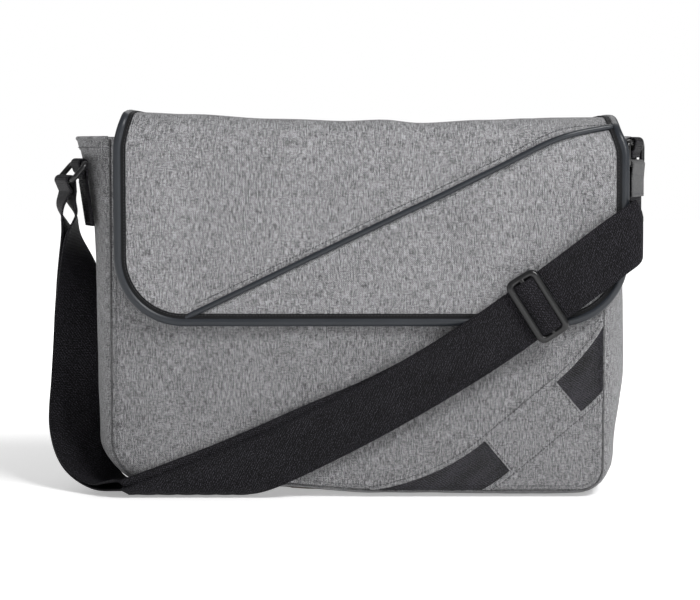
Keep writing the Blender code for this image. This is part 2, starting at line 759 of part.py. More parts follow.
def left_rows(anchor, inner, first):
    """Rows up the left side, from the row that ends the stretch under the base to the ring."""
    centre = sum(first, Vector()) / len(first)
    edge = (first[-1] - first[0]).normalized()
    stops = [(centre, edge)] + fitted_left()
    end = -anchor.across
    stops.append((anchor.outer_bar + Vector((0.0006, 0.004, -0.030)), end))
    places = curve_through([place for place, _side in stops], 3)
    sides = curve_through([side for _place, side in stops], 3)
    rows = []
    for at, (place, side) in enumerate(zip(places, sides)):
        side.normalize()
        ahead = places[min(at + 1, len(places) - 1)] - places[max(at - 1, 0)]
        facing = side.cross(ahead).normalized()
        shift = facing * -inner if at else Vector()
        rows.append([place + shift + side * (share * STRAP_WIDTH / 2) for share in (-1.0, -0.5, 0.0, 0.5, 1.0)])
    return rows


def make_strap(left, right, black):
    lower_route = fitted_route(LOWER_ROUTE)
    upper = front_rows(fitted_route(UPPER_ROUTE), 0.0)
    outer = list(reversed(upper))
    lower_outer = front_rows(lower_route, 0.0, flip=-1.0)[1:]
    lower_inner = front_rows(lower_route, LAYER_PITCH, flip=-1.0)[2:]
    up_outer = left_rows(left, 0.0, lower_outer[-1])[1:]
    up_inner = left_rows(left, LAYER_PITCH, lower_inner[-1])[1:]
    loop = ring_loop(left, up_outer[-1], up_inner[-1])
    end = end_rows(right, outer[0])
    rows = end + outer + lower_outer + up_outer + loop
    rows += list(reversed(up_inner)) + list(reversed(lower_inner))
    last = len(rows) - 1

    def shape(u, v):
        return rows[round(v * last)][round(u * 4)]

    surface("strap_webbing", 4, last, shape, WEBBING, black, offset=0.0)


def ring_loop(anchor, outer_row, inner_row):
    """Over the ring's outer bar, from the outer layer to the inner one."""
    middle = (outer_row[2] + inner_row[2]) / 2
    down = (middle - anchor.outer_bar).normalized()
    edge = -anchor.across
    out = edge.cross(down).normalized()
    if out.dot(outer_row[2] - inner_row[2]) < 0:
        out = -out
    radius = RING_BAR_RADIUS + GAP + WEBBING / 2
    rows = []
    for step in range(9):
        turn = math.pi * step / 8
        place = anchor.outer_bar + out * radius * math.cos(turn) - down * radius * math.sin(turn)
        rows.append([place + edge * (share * STRAP_WIDTH / 2) for share in (-1.0, -0.5, 0.0, 0.5, 1.0)])
    return rows


def end_rows(anchor, first):
    """The strap's sewn end, from inside the sleeve down to where the strap turns forward."""
    edge = -anchor.across
    rows = []
    shares = (-1.0, -0.5, 0.0, 0.5, 1.0)
    for down in (0.005, 0.014):
        middle = anchor.outer_bar + anchor.hang * down
        rows.append([middle + edge * (share * STRAP_WIDTH / 2) for share in shares])
    top = anchor.outer_bar + anchor.hang * (SLEEVE_LENGTH + GAP)
    for step in range(5):
        t = step / 5
        row = []
        for at, share in enumerate(shares):
            start = top + edge * (share * STRAP_WIDTH / 2)
            leave = start + anchor.hang * 0.010
            arrive = first[at]
            row.append(start * (1 - t) ** 2 + leave * (2 * t * (1 - t)) + arrive * t**2)
        rows.append(row)
    return rows


def make_sleeve(anchor, grey):
    legs = (SLEEVE_LENGTH, SLEEVE_LENGTH)
    spread = WEBBING / 2 + FABRIC / 2 + 2 * GAP
    line = hairpin(anchor.outer_bar, anchor.hang, anchor.hang_out, FABRIC, legs, spread)
    ribbon("strap_end_sleeve", line, [anchor.across] * len(line), STRAP_WIDTH, FABRIC, grey)


def make_slider(dark):
    """Two outer bars over the strap, a middle bar under it, joined by two rails past its edges."""
    upper, lower = fitted_route(UPPER_ROUTE[:2]), fitted_route(LOWER_ROUTE[:2])
    place = Vector((upper[0][0], -STRAP_FRONT, upper[0][1]))
    ahead = Vector((lower[1][0] - upper[1][0], 0.0, lower[1][1] - upper[1][1])).normalized()
    facing = Vector((0.0, -1.0, 0.0))
    across = facing.cross(ahead).normalized()
    frame = Matrix((ahead, across, facing)).transposed().to_4x4()
    frame.translation = place
    half = STRAP_WIDTH / 2 + 2 * GAP
    over = WEBBING / 2 + GAP + SLIDER_THICKNESS / 2
    rail_height = 2 * over + SLIDER_THICKNESS
    long = 2 * (half + SLIDER_RAIL)
    reach = SLIDER_LENGTH / 2 - SLIDER_BAR / 2
    boxes = [((0, 0, -over), (SLIDER_BAR, long, SLIDER_THICKNESS))]
    boxes += [((end * reach, 0, over), (SLIDER_BAR, long, SLIDER_THICKNESS)) for end in (-1, 1)]
    boxes += [((0, end * (half + SLIDER_RAIL / 2), 0), (SLIDER_LENGTH, SLIDER_RAIL, rail_height)) for end in (-1, 1)]
    made = None
    for number, (middle, size) in enumerate(boxes):
        grid = bmesh.new()
        bmesh.ops.create_cube(grid, size=1.0)
        bmesh.ops.transform(grid, matrix=Matrix.Diagonal((*size, 1.0)), verts=grid.verts)
        bmesh.ops.transform(grid, matrix=Matrix.Translation(middle), verts=grid.verts)
        mesh = bpy.data.meshes.new(f"slider_bar_{number}")
        grid.to_mesh(mesh)
        grid.free()
        if made is None:
            mesh.name = "slider"
            made = add_object("slider", mesh, dark)
            continue
        helper = bpy.data.objects.new(f"slider_bar_{number}", mesh)
        bpy.data.collections["cutters"].objects.link(helper)
        helper.hide_render = True
        helper.display_type = "WIRE"
        join = made.modifiers.new(f"join {number}", "BOOLEAN")
        join.operation = "UNION"
        join.object = helper
    # The boxes are joined while they still line up with the axes, and then turned to the strap.
    bpy.context.view_layer.update()
    whole = bpy.data.meshes.new_from_object(made.evaluated_get(bpy.context.evaluated_depsgraph_get()))
    whole.transform(frame)
    made.modifiers.clear()
    made.data = whole


def main():
    clear_scene()
    grey = finish_of("grey_fabric", (0.25, 0.25, 0.26), 0.85)
    black = finish_of("black_webbing", (0.012, 0.012, 0.013), 0.7)
    trim = finish_of("slate_trim", (0.03, 0.037, 0.042), 0.45)
    dark = finish_of("dark_plastic", (0.02, 0.02, 0.022), 0.35)
    board = finish_of("board", (0.10, 0.09, 0.08), 0.8)
    foam = finish_of("foam", (0.30, 0.30, 0.30), 0.9)
    cloth = finish_of("lining_cloth", (0.04, 0.04, 0.045), 0.7)
    tape = finish_of("hook_and_loop", (0.015, 0.015, 0.016), 0.95)
    make_body(grey, black, board, foam, cloth)
    make_flap(grey, trim, cloth, tape)
    left = Anchor(-1, LEFT_TAB_TOP, LEFT_RING_TILT)
    right = Anchor(1, RIGHT_TAB_TOP, RIGHT_RING_TILT)
    for name, anchor in (("left", left), ("right", right)):
        make_tab(f"{name}_tab", anchor, black)
        make_ring(f"{name}_ring", anchor, dark)
    make_strap(left, right, black)
    make_sleeve(right, grey)
    make_slider(dark)


main()
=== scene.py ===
import math
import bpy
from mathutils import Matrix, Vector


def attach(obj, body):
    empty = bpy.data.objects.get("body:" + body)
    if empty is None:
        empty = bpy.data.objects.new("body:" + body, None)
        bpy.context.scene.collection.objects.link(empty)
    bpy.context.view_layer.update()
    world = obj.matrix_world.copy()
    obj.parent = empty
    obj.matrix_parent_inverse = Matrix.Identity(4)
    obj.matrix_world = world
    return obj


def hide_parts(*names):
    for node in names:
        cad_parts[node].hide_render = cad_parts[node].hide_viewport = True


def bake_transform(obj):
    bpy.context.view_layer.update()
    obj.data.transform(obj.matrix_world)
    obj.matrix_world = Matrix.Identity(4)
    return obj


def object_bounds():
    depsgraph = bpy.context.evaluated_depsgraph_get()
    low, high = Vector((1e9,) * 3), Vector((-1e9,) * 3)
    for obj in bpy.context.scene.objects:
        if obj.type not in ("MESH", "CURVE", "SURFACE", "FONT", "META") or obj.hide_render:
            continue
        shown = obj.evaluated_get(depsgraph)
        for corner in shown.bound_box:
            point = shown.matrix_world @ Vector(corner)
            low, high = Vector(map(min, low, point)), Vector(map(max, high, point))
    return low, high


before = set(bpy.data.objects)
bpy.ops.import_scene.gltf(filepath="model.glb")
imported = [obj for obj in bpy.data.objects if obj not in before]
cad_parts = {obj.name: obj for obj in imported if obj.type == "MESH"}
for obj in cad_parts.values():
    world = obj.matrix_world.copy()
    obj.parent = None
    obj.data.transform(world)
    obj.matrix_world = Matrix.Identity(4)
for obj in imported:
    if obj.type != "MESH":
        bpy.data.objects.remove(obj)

from types import SimpleNamespace

import bmesh
import bpy
import numpy as np
from mathutils import Vector, noise

cadLow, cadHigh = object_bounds()

bag = {
    "halfWidth": 0.1785,
    "height": 0.260,
    "halfDepth": 0.050,
    "leftCorner": 0.032,  # round lower corners of the panels
    "rightCorner": 0.017,
    "fabric": 0.0012,
    "gap": 0.0003,
    "belly": 0.003,
    "seamRise": 0.004,
    "leftSwell": [(0.0, 0.0080), (0.04, 0.0118), (0.08, 0.0130), (0.26, 0.0130)],
    "rightSwell": [(0.0, 0.0070), (0.03, 0.0115), (0.09, 0.0185), (0.16, 0.0170), (0.26, 0.0180)],
    "leftFlare": 0.014,  # the open left mouth
    "rightFlare": 0.005,
    "flareStart": 0.110,
    "baseLift": 0.0055,  # the strap runs under the left end
    "liftFrom": 0.200,
    "liftTo": 0.108,
    "seamDip": 0.0022,  # how deep the cloth turns in at a seam
    "creases": 0.0016,
    "leftTuck": 0.0055,  # the front seam stands back at the left
    "sideCreases": 0.0011,
    "pinch": 0.0030,  # the dent in the left side, level with the lid's corner
}
lid = {
    "left": -0.1745,
    "right": 0.1945,
    "top": 0.2726,
    "front": 0.0604,
    "back": 0.051,
    "fold": 0.0994,  # from the back edge to where it turns down
    "roll": 0.012,
    "drop": 0.1480,
    "corner": 0.050,
    "layers": 0.0028,
    "lining": 0.0008,
    "tail": 0.052,  # what is sewn down on the back panel
    "tailRoll": 0.0042,
    "billow": -0.0022,  # the front hollows below the fold
    "endsIn": 0.0055,  # how far both ends of the top draw in
    "softRight": 0.0075,  # how much rounder the fold is at its ends
    "softLeft": 0.002,
}
lidRoll = lid["roll"] * math.pi / 2
lidLength = lid["fold"] + lidRoll + lid["drop"] - lid["roll"]


def ease(t):
    t = min(1.0, max(0.0, t))
    return t * t * (3 - 2 * t)


def spread(start, end, count):
    return [start + (end - start) * i / count for i in range(count + 1)]


def edged(length, count, near=(0.0009, 0.0018, 0.0029, 0.0045)):
    # shares from 0 to 1 with extra columns next to both ends
    close = [0.0] + [n / length for n in near]
    middle = spread(close[-1], 1 - close[-1], count)
    return close[:-1] + middle + [1 - c for c in reversed(close[:-1])]


def curveValue(stops, x):
    # a smooth value at x, between (x, value) stops
    if x <= stops[0][0]:
        return stops[0][1]
    for (a, low), (b, high) in zip(stops, stops[1:]):
        if x <= b:
            return low + (high - low) * ease((x - a) / (b - a))
    return stops[-1][1]


def rough(x, y, scale, seed=0.0):
    return noise.noise(Vector((x / scale, y / scale, seed)))


def shaded(colour, share):
    return tuple(c * share for c in colour)


# a shader whose patterns are laid out in the cloth's own flat metres
class Finish:
    def __init__(self, name, colour, roughness, sockets=None, source="cloth"):
        self.made = bpy.data.materials.new(name)
        self.made.use_nodes = True
        self.tree = self.made.node_tree
        self.shader = self.tree.nodes["Principled BSDF"]
        self.shader.inputs["Base Color"].default_value = (*colour, 1)
        self.shader.inputs["Roughness"].default_value = roughness
        for socket, value in (sockets or {}).items():
            self.shader.inputs[socket].default_value = value
        if source == "cloth":
            place = self.tree.nodes.new("ShaderNodeAttribute")
            place.attribute_name = "cloth"
            self.place = place.outputs["Vector"]
        else:
            self.place = self.tree.nodes.new("ShaderNodeTexCoord").outputs["Object"]
        split = self.tree.nodes.new("ShaderNodeSeparateXYZ")
        self.tree.links.new(self.place, split.inputs[0])
        self.across, self.along = split.outputs["X"], split.outputs["Y"]

    def math(self, operation, *values):
        made = self.tree.nodes.new("ShaderNodeMath")
        made.operation = operation
        for socket, value in zip(made.inputs, values):
            if isinstance(value, (int, float)):
                socket.default_value = value
            else:
                self.tree.links.new(value, socket)
        return made.outputs[0]

    def total(self, *shares):
        # sum of (value, share) pairs
        result = None
        for value, share in shares:
            part = self.math("MULTIPLY", value, share)
            result = part if result is None else self.math("ADD", result, part)
        return result

    def scaled(self, size):
        mapping = self.tree.nodes.new("ShaderNodeMapping")
        mapping.inputs["Scale"].default_value = tuple(1 / s for s in size)
        self.tree.links.new(self.place, mapping.inputs["Vector"])
        return mapping.outputs[0]

    def grain(self, size, detail=1.0):
        made = self.tree.nodes.new("ShaderNodeTexNoise")
        made.inputs["Scale"].default_value = 1.0
        made.inputs["Detail"].default_value = detail
        self.tree.links.new(self.scaled(size), made.inputs["Vector"])
        return self.math("SUBTRACT", made.outputs[0], 0.5)

    def cells(self, size):
        made = self.tree.nodes.new("ShaderNodeTexVoronoi")
        made.inputs["Scale"].default_value = 1.0
        self.tree.links.new(self.scaled(size), made.inputs["Vector"])
        return made.outputs["Distance"]

    def wave(self, value, pitch, shift=None):
        turned = self.math("MULTIPLY", value, 2 * math.pi / pitch)
        if shift is not None:
            turned = self.math("ADD", turned, shift)
        return self.math("SINE", turned)

    def colour(self, value, stops):
        made = self.tree.nodes.new("ShaderNodeValToRGB")
        ramp = made.color_ramp
        while len(ramp.elements) < len(stops):
            ramp.elements.new(0.5)
        for element, (place, tint) in zip(ramp.elements, stops):
            element.position = place
            element.color = (*tint, 1)
        self.tree.links.new(value, made.inputs[0])
        self.tree.links.new(made.outputs[0], self.shader.inputs["Base Color"])

    def tinted(self, base, low, high, middle, *shares):
        value = self.math("ADD", self.total(*shares), middle)
        self.colour(value, [(0.0, shaded(base, low)), (1.0, shaded(base, high))])

    def gloss(self, value, low, high):
        made = self.tree.nodes.new("ShaderNodeMapRange")
        made.inputs["From Min"].default_value = -1
        made.inputs["To Min"].default_value = low
        made.inputs["To Max"].default_value = high
        self.tree.links.new(value, made.inputs["Value"])
        self.tree.links.new(made.outputs[0], self.shader.inputs["Roughness"])

    def relief(self, height, strength, depth):
        made = self.tree.nodes.new("ShaderNodeBump")
        made.inputs["Strength"].default_value = strength
        made.inputs["Distance"].default_value = depth
        self.tree.links.new(height, made.inputs["Height"])
        self.tree.links.new(made.outputs[0], self.shader.inputs["Normal"])


finishLook = {
    "greyDark": (0.040, 0.040, 0.043),
    "greyLight": (0.400, 0.400, 0.410),
    "greyPitch": 0.00078,  # between two threads
    "webbing": (0.0046, 0.0043, 0.0058),
    "webbingLight": (0.040, 0.038, 0.046),
    "ribPitch": 0.0013,
    "slate": (0.0130, 0.0158, 0.0205),
    "band": (0.0066, 0.0063, 0.0080),
    "plastic": (0.0045, 0.0045, 0.0050),
}


def greyMelange(name, shade=1.0):
    # two-tone threads: pale and dark yarn, streaked along both directions
    f = Finish(name, (0.27, 0.27, 0.28), 0.88, {"Sheen Weight": 0.12, "Sheen Roughness": 0.5})
    pitch = finishLook["greyPitch"]
    warp = f.grain((pitch, 0.0060, 1), 1)
    weft = f.grain((0.0040, pitch, 1), 1)
    speck = f.grain((pitch * 0.8, pitch * 0.8, 1), 1)
    cloud = f.grain((0.030, 0.05, 1), 2)
    over = f.wave(f.across, pitch * 2)
    under = f.wave(f.along, pitch * 2)
    weave = f.math("MULTIPLY", over, under)
    value = f.total((warp, 1.8), (weft, 1.2), (speck, 3.4), (cloud, 0.30), (weave, 0.2))
    value = f.math("ADD", value, 0.43)
    dark, light = shaded(finishLook["greyDark"], shade), shaded(finishLook["greyLight"], shade)
    f.colour(value, [(0.0, dark), (1.0, light)])
    f.relief(f.total((weave, 0.5), (speck, 1.0), (warp, 0.5)), 0.55, 0.0003)
    f.gloss(speck, 0.74, 0.98)
    return f.made


def ribbedWebbing(name):
    # black nylon: fine ribs across, crossed by slanting twill lines
    f = Finish(name, finishLook["webbing"], 0.7, {"Specular IOR Level": 0.12})
    rib = f.wave(f.along, finishLook["ribPitch"])
    slant = f.math("ADD", f.across, f.math("MULTIPLY", f.along, 0.6))
    twill = f.wave(slant, 0.0017)
    fleck = f.grain((0.0008, 0.0008, 1), 1)
    wear = f.grain((0.012, 0.03, 1), 2)
    # the light flecks are partly the fibres' own tone and partly painted glints off the twill
    value = f.total((rib, 0.22), (twill, 0.22), (fleck, 4.4), (wear, 0.5))
    value = f.math("ADD", value, 0.30)
    dark, light = finishLook["webbing"], finishLook["webbingLight"]
    f.colour(value, [(0.0, shaded(dark, 0.45)), (0.45, dark), (1.0, light)])
    f.relief(f.total((rib, 0.5), (twill, 0.35), (fleck, 0.8)), 0.8, 0.0004)
    f.gloss(fleck, 0.5, 0.75)
    return f.made


def slateLeather(name):
    f = Finish(name, finishLook["slate"], 0.42, {"Specular IOR Level": 0.45})
    pores = f.cells((0.0008, 0.0011, 1))
    scuff = f.grain((0.006, 0.02, 1), 3)
    f.tinted(finishLook["slate"], 0.72, 1.5, 0.4, (scuff, 0.9), (pores, 0.2))
    f.relief(f.total((pores, 0.5), (scuff, 0.3)), 0.35, 0.0003)
    f.gloss(scuff, 0.30, 0.52)
    return f.made


def grainedBand(name):
    f = Finish(name, finishLook["band"], 0.5, {"Specular IOR Level": 0.2})
    cord = f.wave(f.math("ADD", f.across, f.math("MULTIPLY", f.along, 0.35)), 0.0016)
    fine = f.grain((0.0009, 0.0008, 1), 1)
    # glow: broad light streaks in the band's colour, a painted sheen
    glow = f.grain((0.03, 0.012, 1), 1)
    f.tinted(finishLook["band"], 0.2, 5.0, 0.36, (cord, 0.2), (fine, 4.6), (glow, 1.6))
    f.relief(f.total((cord, 0.5), (fine, 0.9)), 0.8, 0.0004)
    f.gloss(fine, 0.32, 0.55)
    return f.made


def mouldedPlastic(name):
    f = Finish(name, finishLook["plastic"], 0.36, {"Specular IOR Level": 0.5}, source="object")
    skin = f.grain((0.0006, 0.0006, 0.0006), 2)
    rubbed = f.grain((0.006, 0.006, 0.006), 2)
    f.tinted(finishLook["plastic"], 0.75, 1.7, 0.4, (rubbed, 0.8), (skin, 0.3))
    f.relief(skin, 0.35, 0.0002)
    f.gloss(rubbed, 0.20, 0.40)
    return f.made


def plainCloth(name, colour, pitch=0.0009, roughness=0.75, source="cloth"):
    f = Finish(name, colour, roughness, {"Specular IOR Level": 0.25}, source=source)
    over, under = f.wave(f.across, pitch), f.wave(f.along, pitch)
    weave = f.math("MULTIPLY", over, under)
    fleck = f.grain((pitch, pitch, pitch), 1)
    soft = f.grain((0.02, 0.03, 0.02), 2)
    f.tinted(colour, 0.55, 1.5, 0.45, (fleck, 0.7), (weave, 0.12), (soft, 0.3))
    f.relief(f.total((weave, 0.6), (fleck, 0.8)), 0.5, 0.0003)
    f.gloss(fleck, roughness - 0.1, roughness + 0.12)
    return f.made


grey = greyMelange("greyMelange", 1.02)
# the body's panels, gusset and patch: the lid's grey darkened to 0.86 as painted shade
paintedShadeBodyGrey = greyMelange("bodyMelangePaintedShade", 0.86)
# the rolled mouth edges: the same grey a little darker, painted shade in the folds
paintedShadeFoldGrey = greyMelange("foldMelangePaintedShade", 0.93)
# the seam welts: the same grey made very dark, a painted shadow line along the seams
paintedShadowSeamGrey = greyMelange("seamMelangePaintedShadow", 0.36)
# the strap's end sleeve: the same grey made very dark, painted shade
paintedShadeSleeveGrey = greyMelange("sleeveMelangePaintedShade", 0.19)
webbing = ribbedWebbing("ribbedWebbing")
slate = slateLeather("slateLeather")
flangeBlack = plainCloth("blackBindingTape", (0.0045, 0.0047, 0.0055), 0.0007, 0.7)
bandBlack = grainedBand("grainedBlackBand")
plastic = mouldedPlastic("mouldedPlastic")
liningCloth = plainCloth("liningTwill", (0.040, 0.040, 0.046), 0.0008, 0.7)
threadDark = plainCloth("darkThread", (0.030, 0.030, 0.033), 0.0004, 0.6)
threadGrey = plainCloth("greyThread", (0.115, 0.115, 0.12), 0.0004, 0.7)
threadBlack = plainCloth("blackThread", (0.018, 0.018, 0.020), 0.0004, 0.5)
boardFinish = plainCloth("pressedBoard", (0.10, 0.09, 0.08), 0.0016, 0.85, source="object")
foamFinish = plainCloth("foam", (0.32, 0.32, 0.33), 0.0012, 0.92)
hookFinish = plainCloth("hookAndLoop", (0.016, 0.016, 0.017), 0.0013, 0.9)
print("finishes made")


def addPiece(name, points, faces, finish, flat):
    mesh = bpy.data.meshes.new(name)
    mesh.from_pydata([tuple(p) for p in points], [], faces)
    mesh.shade_smooth()
    mesh.set_sharp_from_angle(angle=math.radians(50))
    layout = mesh.attributes.new("cloth", "FLOAT_VECTOR", "POINT")
    layout.data.foreach_set("vector", np.asarray(flat, np.float32).ravel())
    mesh.materials.append(finish)
    made = bpy.data.objects.new(name, mesh)
    bpy.context.scene.collection.objects.link(made)
    return made


def twoSided(name, outer, inner, flat, finish, closed=False):
    # closes two grids of points (columns x rows) into one thin body
    columns, rows = outer.shape[:2]
    count = columns * rows
    points = np.concatenate([outer.reshape(-1, 3), inner.reshape(-1, 3)])
    middle = (columns // 2, rows // 2)
    right = outer[min(middle[0] + 1, columns - 1), middle[1]] - outer[middle[0] - 1, middle[1]]
    up = outer[middle[0], min(middle[1] + 1, rows - 1)] - outer[middle[0], middle[1] - 1]
    facing = np.dot(np.cross(right, up), outer[middle] - inner[middle]) > 0
    faces = []

    def add(*corners):
        faces.append(corners if facing else corners[::-1])

    def at(i, j, side=0):
        return side * count + (i % columns) * rows + j

    lastColumn = columns if closed else columns - 1
    for i in range(lastColumn):
        for j in range(rows - 1):
            add(at(i, j), at(i + 1, j), at(i + 1, j + 1), at(i, j + 1))
            add(at(i, j + 1, 1), at(i + 1, j + 1, 1), at(i + 1, j, 1), at(i, j, 1))
        add(at(i, 0, 1), at(i + 1, 0, 1), at(i + 1, 0), at(i, 0))
        add(at(i, rows - 1), at(i + 1, rows - 1), at(i + 1, rows - 1, 1), at(i, rows - 1, 1))
    if not closed:
        for j in range(rows - 1):
            add(at(0, j), at(0, j + 1), at(0, j + 1, 1), at(0, j, 1))
            last = columns - 1
            add(at(last, j, 1), at(last, j + 1, 1), at(last, j + 1), at(last, j))
    flat = flat.reshape(-1, 3)
    return addPiece(name, points, faces, finish, np.concatenate([flat, flat]))


def layer(name, surface, us, vs, spot, thickness, finish, out=0.0, taper=None):
    # cloth on a surface: its outer face is out from it, and spot(u, v) gives the surface's own two numbers
    outer = np.empty((len(us), len(vs), 3))
    inner = np.empty_like(outer)
    flat = np.zeros_like(outer)
    for i, u in enumerate(us):
        for j, v in enumerate(vs):
            a, b = spot(u, v)
            rise = out if taper is None else out * taper(u, v)
            outer[i, j] = surface(a, b, rise)
            inner[i, j] = surface(a, b, rise - thickness)
            flat[i, j] = (a, b, 0)
    return twoSided(name, outer, inner, flat, finish)


def turnCloth(piece):
    # the threads run along a side run, so its flat layout is turned to match
    for spot in piece.data.attributes["cloth"].data:
        along, across, _ = spot.vector
        spot.vector = (across, along, 0)


def sewOn(pieces, body):
    for piece in pieces:
        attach(piece, body)


def walk(points, step):
    # points at an even step along a line, with the direction there
    points = [Vector(p) for p in points]
    lengths = [0.0]
    for a, b in zip(points, points[1:]):
        lengths.append(lengths[-1] + (b - a).length)
    count = max(1, round(lengths[-1] / step))
    made, k = [], 0
    for i in range(count + 1):
        reach = lengths[-1] * i / count
        while k < len(points) - 2 and lengths[k + 1] < reach:
            k += 1
        part = (reach - lengths[k]) / max(lengths[k + 1] - lengths[k], 1e-9)
        made.append((points[k].lerp(points[k + 1], part), k + part, (points[k + 1] - points[k]).normalized()))
    return made


def beadPiece(name, points, radius, finish, sides=12, closed=False, flatten=1.0, outward=None):
    # a round cord of trim along a line, with rounded ends; outward keeps a flattened one upright
    points = [Vector(p) for p in points]
    last = len(points) - 1
    rings, flat, reach = [], [], 0.0
    side = None
    for i, here in enumerate(points):
        if closed:
            ahead = (points[(i + 1) % len(points)] - points[i - 1]).normalized()
        else:
            ahead = (points[min(i + 1, last)] - points[max(i - 1, 0)]).normalized()
        if outward is not None:
            up = Vector(outward[i])
            side = ahead.cross(up).normalized()
        elif side is None:
            side = ahead.orthogonal().normalized()
        side = (side - ahead * side.dot(ahead)).normalized()
        up = side.cross(ahead)
        reach += (here - points[i - 1]).length if i else 0.0
        steps = [(0.0, 1.0)]
        if not closed and i == 0:
            steps = [(-1.0, 0.02), (-0.85, 0.55), (-0.45, 0.88), (0.0, 1.0)]
        if not closed and i == last:
            steps = [(0.0, 1.0), (0.45, 0.88), (0.85, 0.55), (1.0, 0.02)]
        for push, share in steps:
            ring = []
            for k in range(sides):
                turn = 2 * math.pi * k / sides
                place = side * math.cos(turn) + up * (math.sin(turn) * flatten)
                ring.append(here + ahead * (push * radius * 0.7) + place * (radius * share))
                flat.append((radius * turn, reach + push * radius, 0))
            rings.append(ring)
    faces = []
    total = len(rings)
    for i in range(total if closed else total - 1):
        for k in range(sides):
            a, b = i * sides, ((i + 1) % total) * sides
            after = (k + 1) % sides
            faces.append((a + k, b + k, b + after, a + after))
    if not closed:
        faces.append(tuple(range(sides)))
        faces.append(tuple(reversed(range((total - 1) * sides, total * sides))))
    return addPiece(name, [p for ring in rings for p in ring], faces, finish, flat)


stitchRings = ((-0.5, 0.45, -0.6), (-0.28, 1.0, 0.2), (0.28, 1.0, 0.2), (0.5, 0.45, -0.6))  # along, wide, up


def stitchPiece(name, surface, tracks, finish, pitch=0.0026, length=0.0019, radius=0.00030, height=0.0001):
    # rows of separate stitches on a surface; each track is a list of the surface's own two numbers
    points, faces, flat = [], [], []
    for track in tracks:
        line = [surface(a, b, height) for a, b in track]
        for place, at, ahead in walk(line, pitch):
            k = min(int(at), len(track) - 1)
            a, b = track[k]
            up = (surface(a, b, height + 0.001) - surface(a, b, height)).normalized()
            side = ahead.cross(up).normalized()
            start = len(points)
            for push, share, sink in stitchRings:
                for step in range(5):
                    turn = 2 * math.pi * step / 5
                    ring = side * math.cos(turn) + up * (math.sin(turn) * 0.8 + sink)
                    points.append(place + ahead * (push * length) + ring * (radius * share))
                    flat.append((radius * turn, push * length + at, 0))
            for ring in range(3):
                for step in range(5):
                    i, j = start + ring * 5 + step, start + ring * 5 + (step + 1) % 5
                    faces.append((i, j, j + 5, i + 5))
            faces.append(tuple(start + s for s in reversed(range(5))))
            faces.append(tuple(start + 15 + s for s in range(5)))
    return addPiece(name, points, faces, finish, flat)


def rowsPiece(name, rows, thickness, finish, width, edge=0.55):
    # webbing from rows of points across it, thinner at its two edges
    grid = np.array([[tuple(p) for p in row] for row in rows])
    normal = np.cross(np.gradient(grid, axis=1), np.gradient(grid, axis=0))
    normal /= np.maximum(np.linalg.norm(normal, axis=2, keepdims=True), 1e-12)
    columns = grid.shape[1]
    half = np.full(columns, thickness / 2)
    half[[0, -1]] *= edge
    outer = grid + normal * half[None, :, None]
    inner = grid - normal * half[None, :, None]
    middle = grid[:, columns // 2]
    reach = np.concatenate([[0], np.cumsum(np.linalg.norm(np.diff(middle, axis=0), axis=1))])
    flat = np.zeros_like(grid)
    flat[:, :, 0] = np.linspace(-width / 2, width / 2, columns)[None, :]
    flat[:, :, 1] = reach[:, None]
    return twoSided(name, outer, inner, flat, finish)


def cornerOf(side):
    return bag["leftCorner"] if side < 0 else bag["rightCorner"]


def seamHalf(z, side):
    above, corner = z - bag["seamRise"], cornerOf(side)
    if above >= corner:
        return bag["halfWidth"]
    drop = corner - max(0.0, above)
    return bag["halfWidth"] - corner + math.sqrt(max(0.0, corner**2 - drop**2))


def liftAt(x):
    fromSeam = x + bag["halfWidth"]
    return bag["baseLift"] * ease((bag["liftFrom"] - fromSeam) / (bag["liftFrom"] - bag["liftTo"]))


def lifted(x, z):
    return z + liftAt(x) * (1 - ease((z - bag["seamRise"]) / (bag["leftCorner"] * 2)))


def bellyAt(x, z):
    across = 1 - min(1.0, abs(x) / bag["halfWidth"]) ** 2
    return bag["belly"] * across * math.sin(math.pi * min(1.0, max(0.0, z / bag["height"])))


def fromEdge(x, z):
    # how far inside the panel's seam a point is
    corner = cornerOf(x)
    side = abs(x) - (bag["halfWidth"] - corner)
    low = bag["seamRise"] + corner - z
    if side > 0 and low > 0:
        return corner - math.hypot(side, low)
    return min(bag["halfWidth"] - abs(x), z - bag["seamRise"])


def creaseAt(x, z, seed):
    # soft hollows all over, and short pulls that run in from the seams
    soft = rough(x, z * 0.7, 0.075, seed) + 0.30 * rough(x, z, 0.026, seed + 7)
    side = min(1.0, abs(x) / bag["halfWidth"])
    pull = rough(x * 0.35, z, 0.014, seed + 3) * ease((side - 0.72) / 0.28)
    return bag["creases"] * (soft + 0.45 * pull)


def tucked(place):
    forward = min(1.0, max(0.0, -place.y / (bag["halfDepth"] - 0.0015))) ** 2
    place.y += bag["leftTuck"] * forward * ease((-0.140 - place.x) / 0.038)
    return place


def panelSurface(facing, x, z, out):
    inside = max(0.0, fromEdge(x, z))
    turnIn = bag["seamDip"] * (1 - ease(inside / 0.0040))
    loose = ease(inside / 0.03)
    reach = bag["halfDepth"] + bag["fabric"] + bellyAt(x, z) + loose * creaseAt(x, z, 2.0 + facing)
    return tucked(Vector((x, facing * (reach - turnIn + out), lifted(x, z))))


def frontSurface(x, z, out=0.0):
    return panelSurface(-1, x, z, out)


def backSurface(x, z, out=0.0):
    return panelSurface(1, x, z, out)


def sideBulge(side, z):
    base = curveValue(bag["leftSwell"] if side < 0 else bag["rightSwell"], z)
    flare = bag["leftFlare"] if side < 0 else bag["rightFlare"]
    up = max(0.0, (z - (bag["height"] - bag["flareStart"])) / bag["flareStart"])
    return base + flare * min(1.0, up) ** 2


gussetHalf = bag["halfDepth"] - bag["gap"] - bag["fabric"]
upright = {side: bag["height"] - bag["seamRise"] - cornerOf(side) for side in (-1, 1)}
aroundCorner = {side: cornerOf(side) * math.pi / 2 for side in (-1, 1)}
alongBottom = 2 * bag["halfWidth"] - cornerOf(-1) - cornerOf(1)
gussetLength = sum(upright.values()) + sum(aroundCorner.values()) + alongBottom


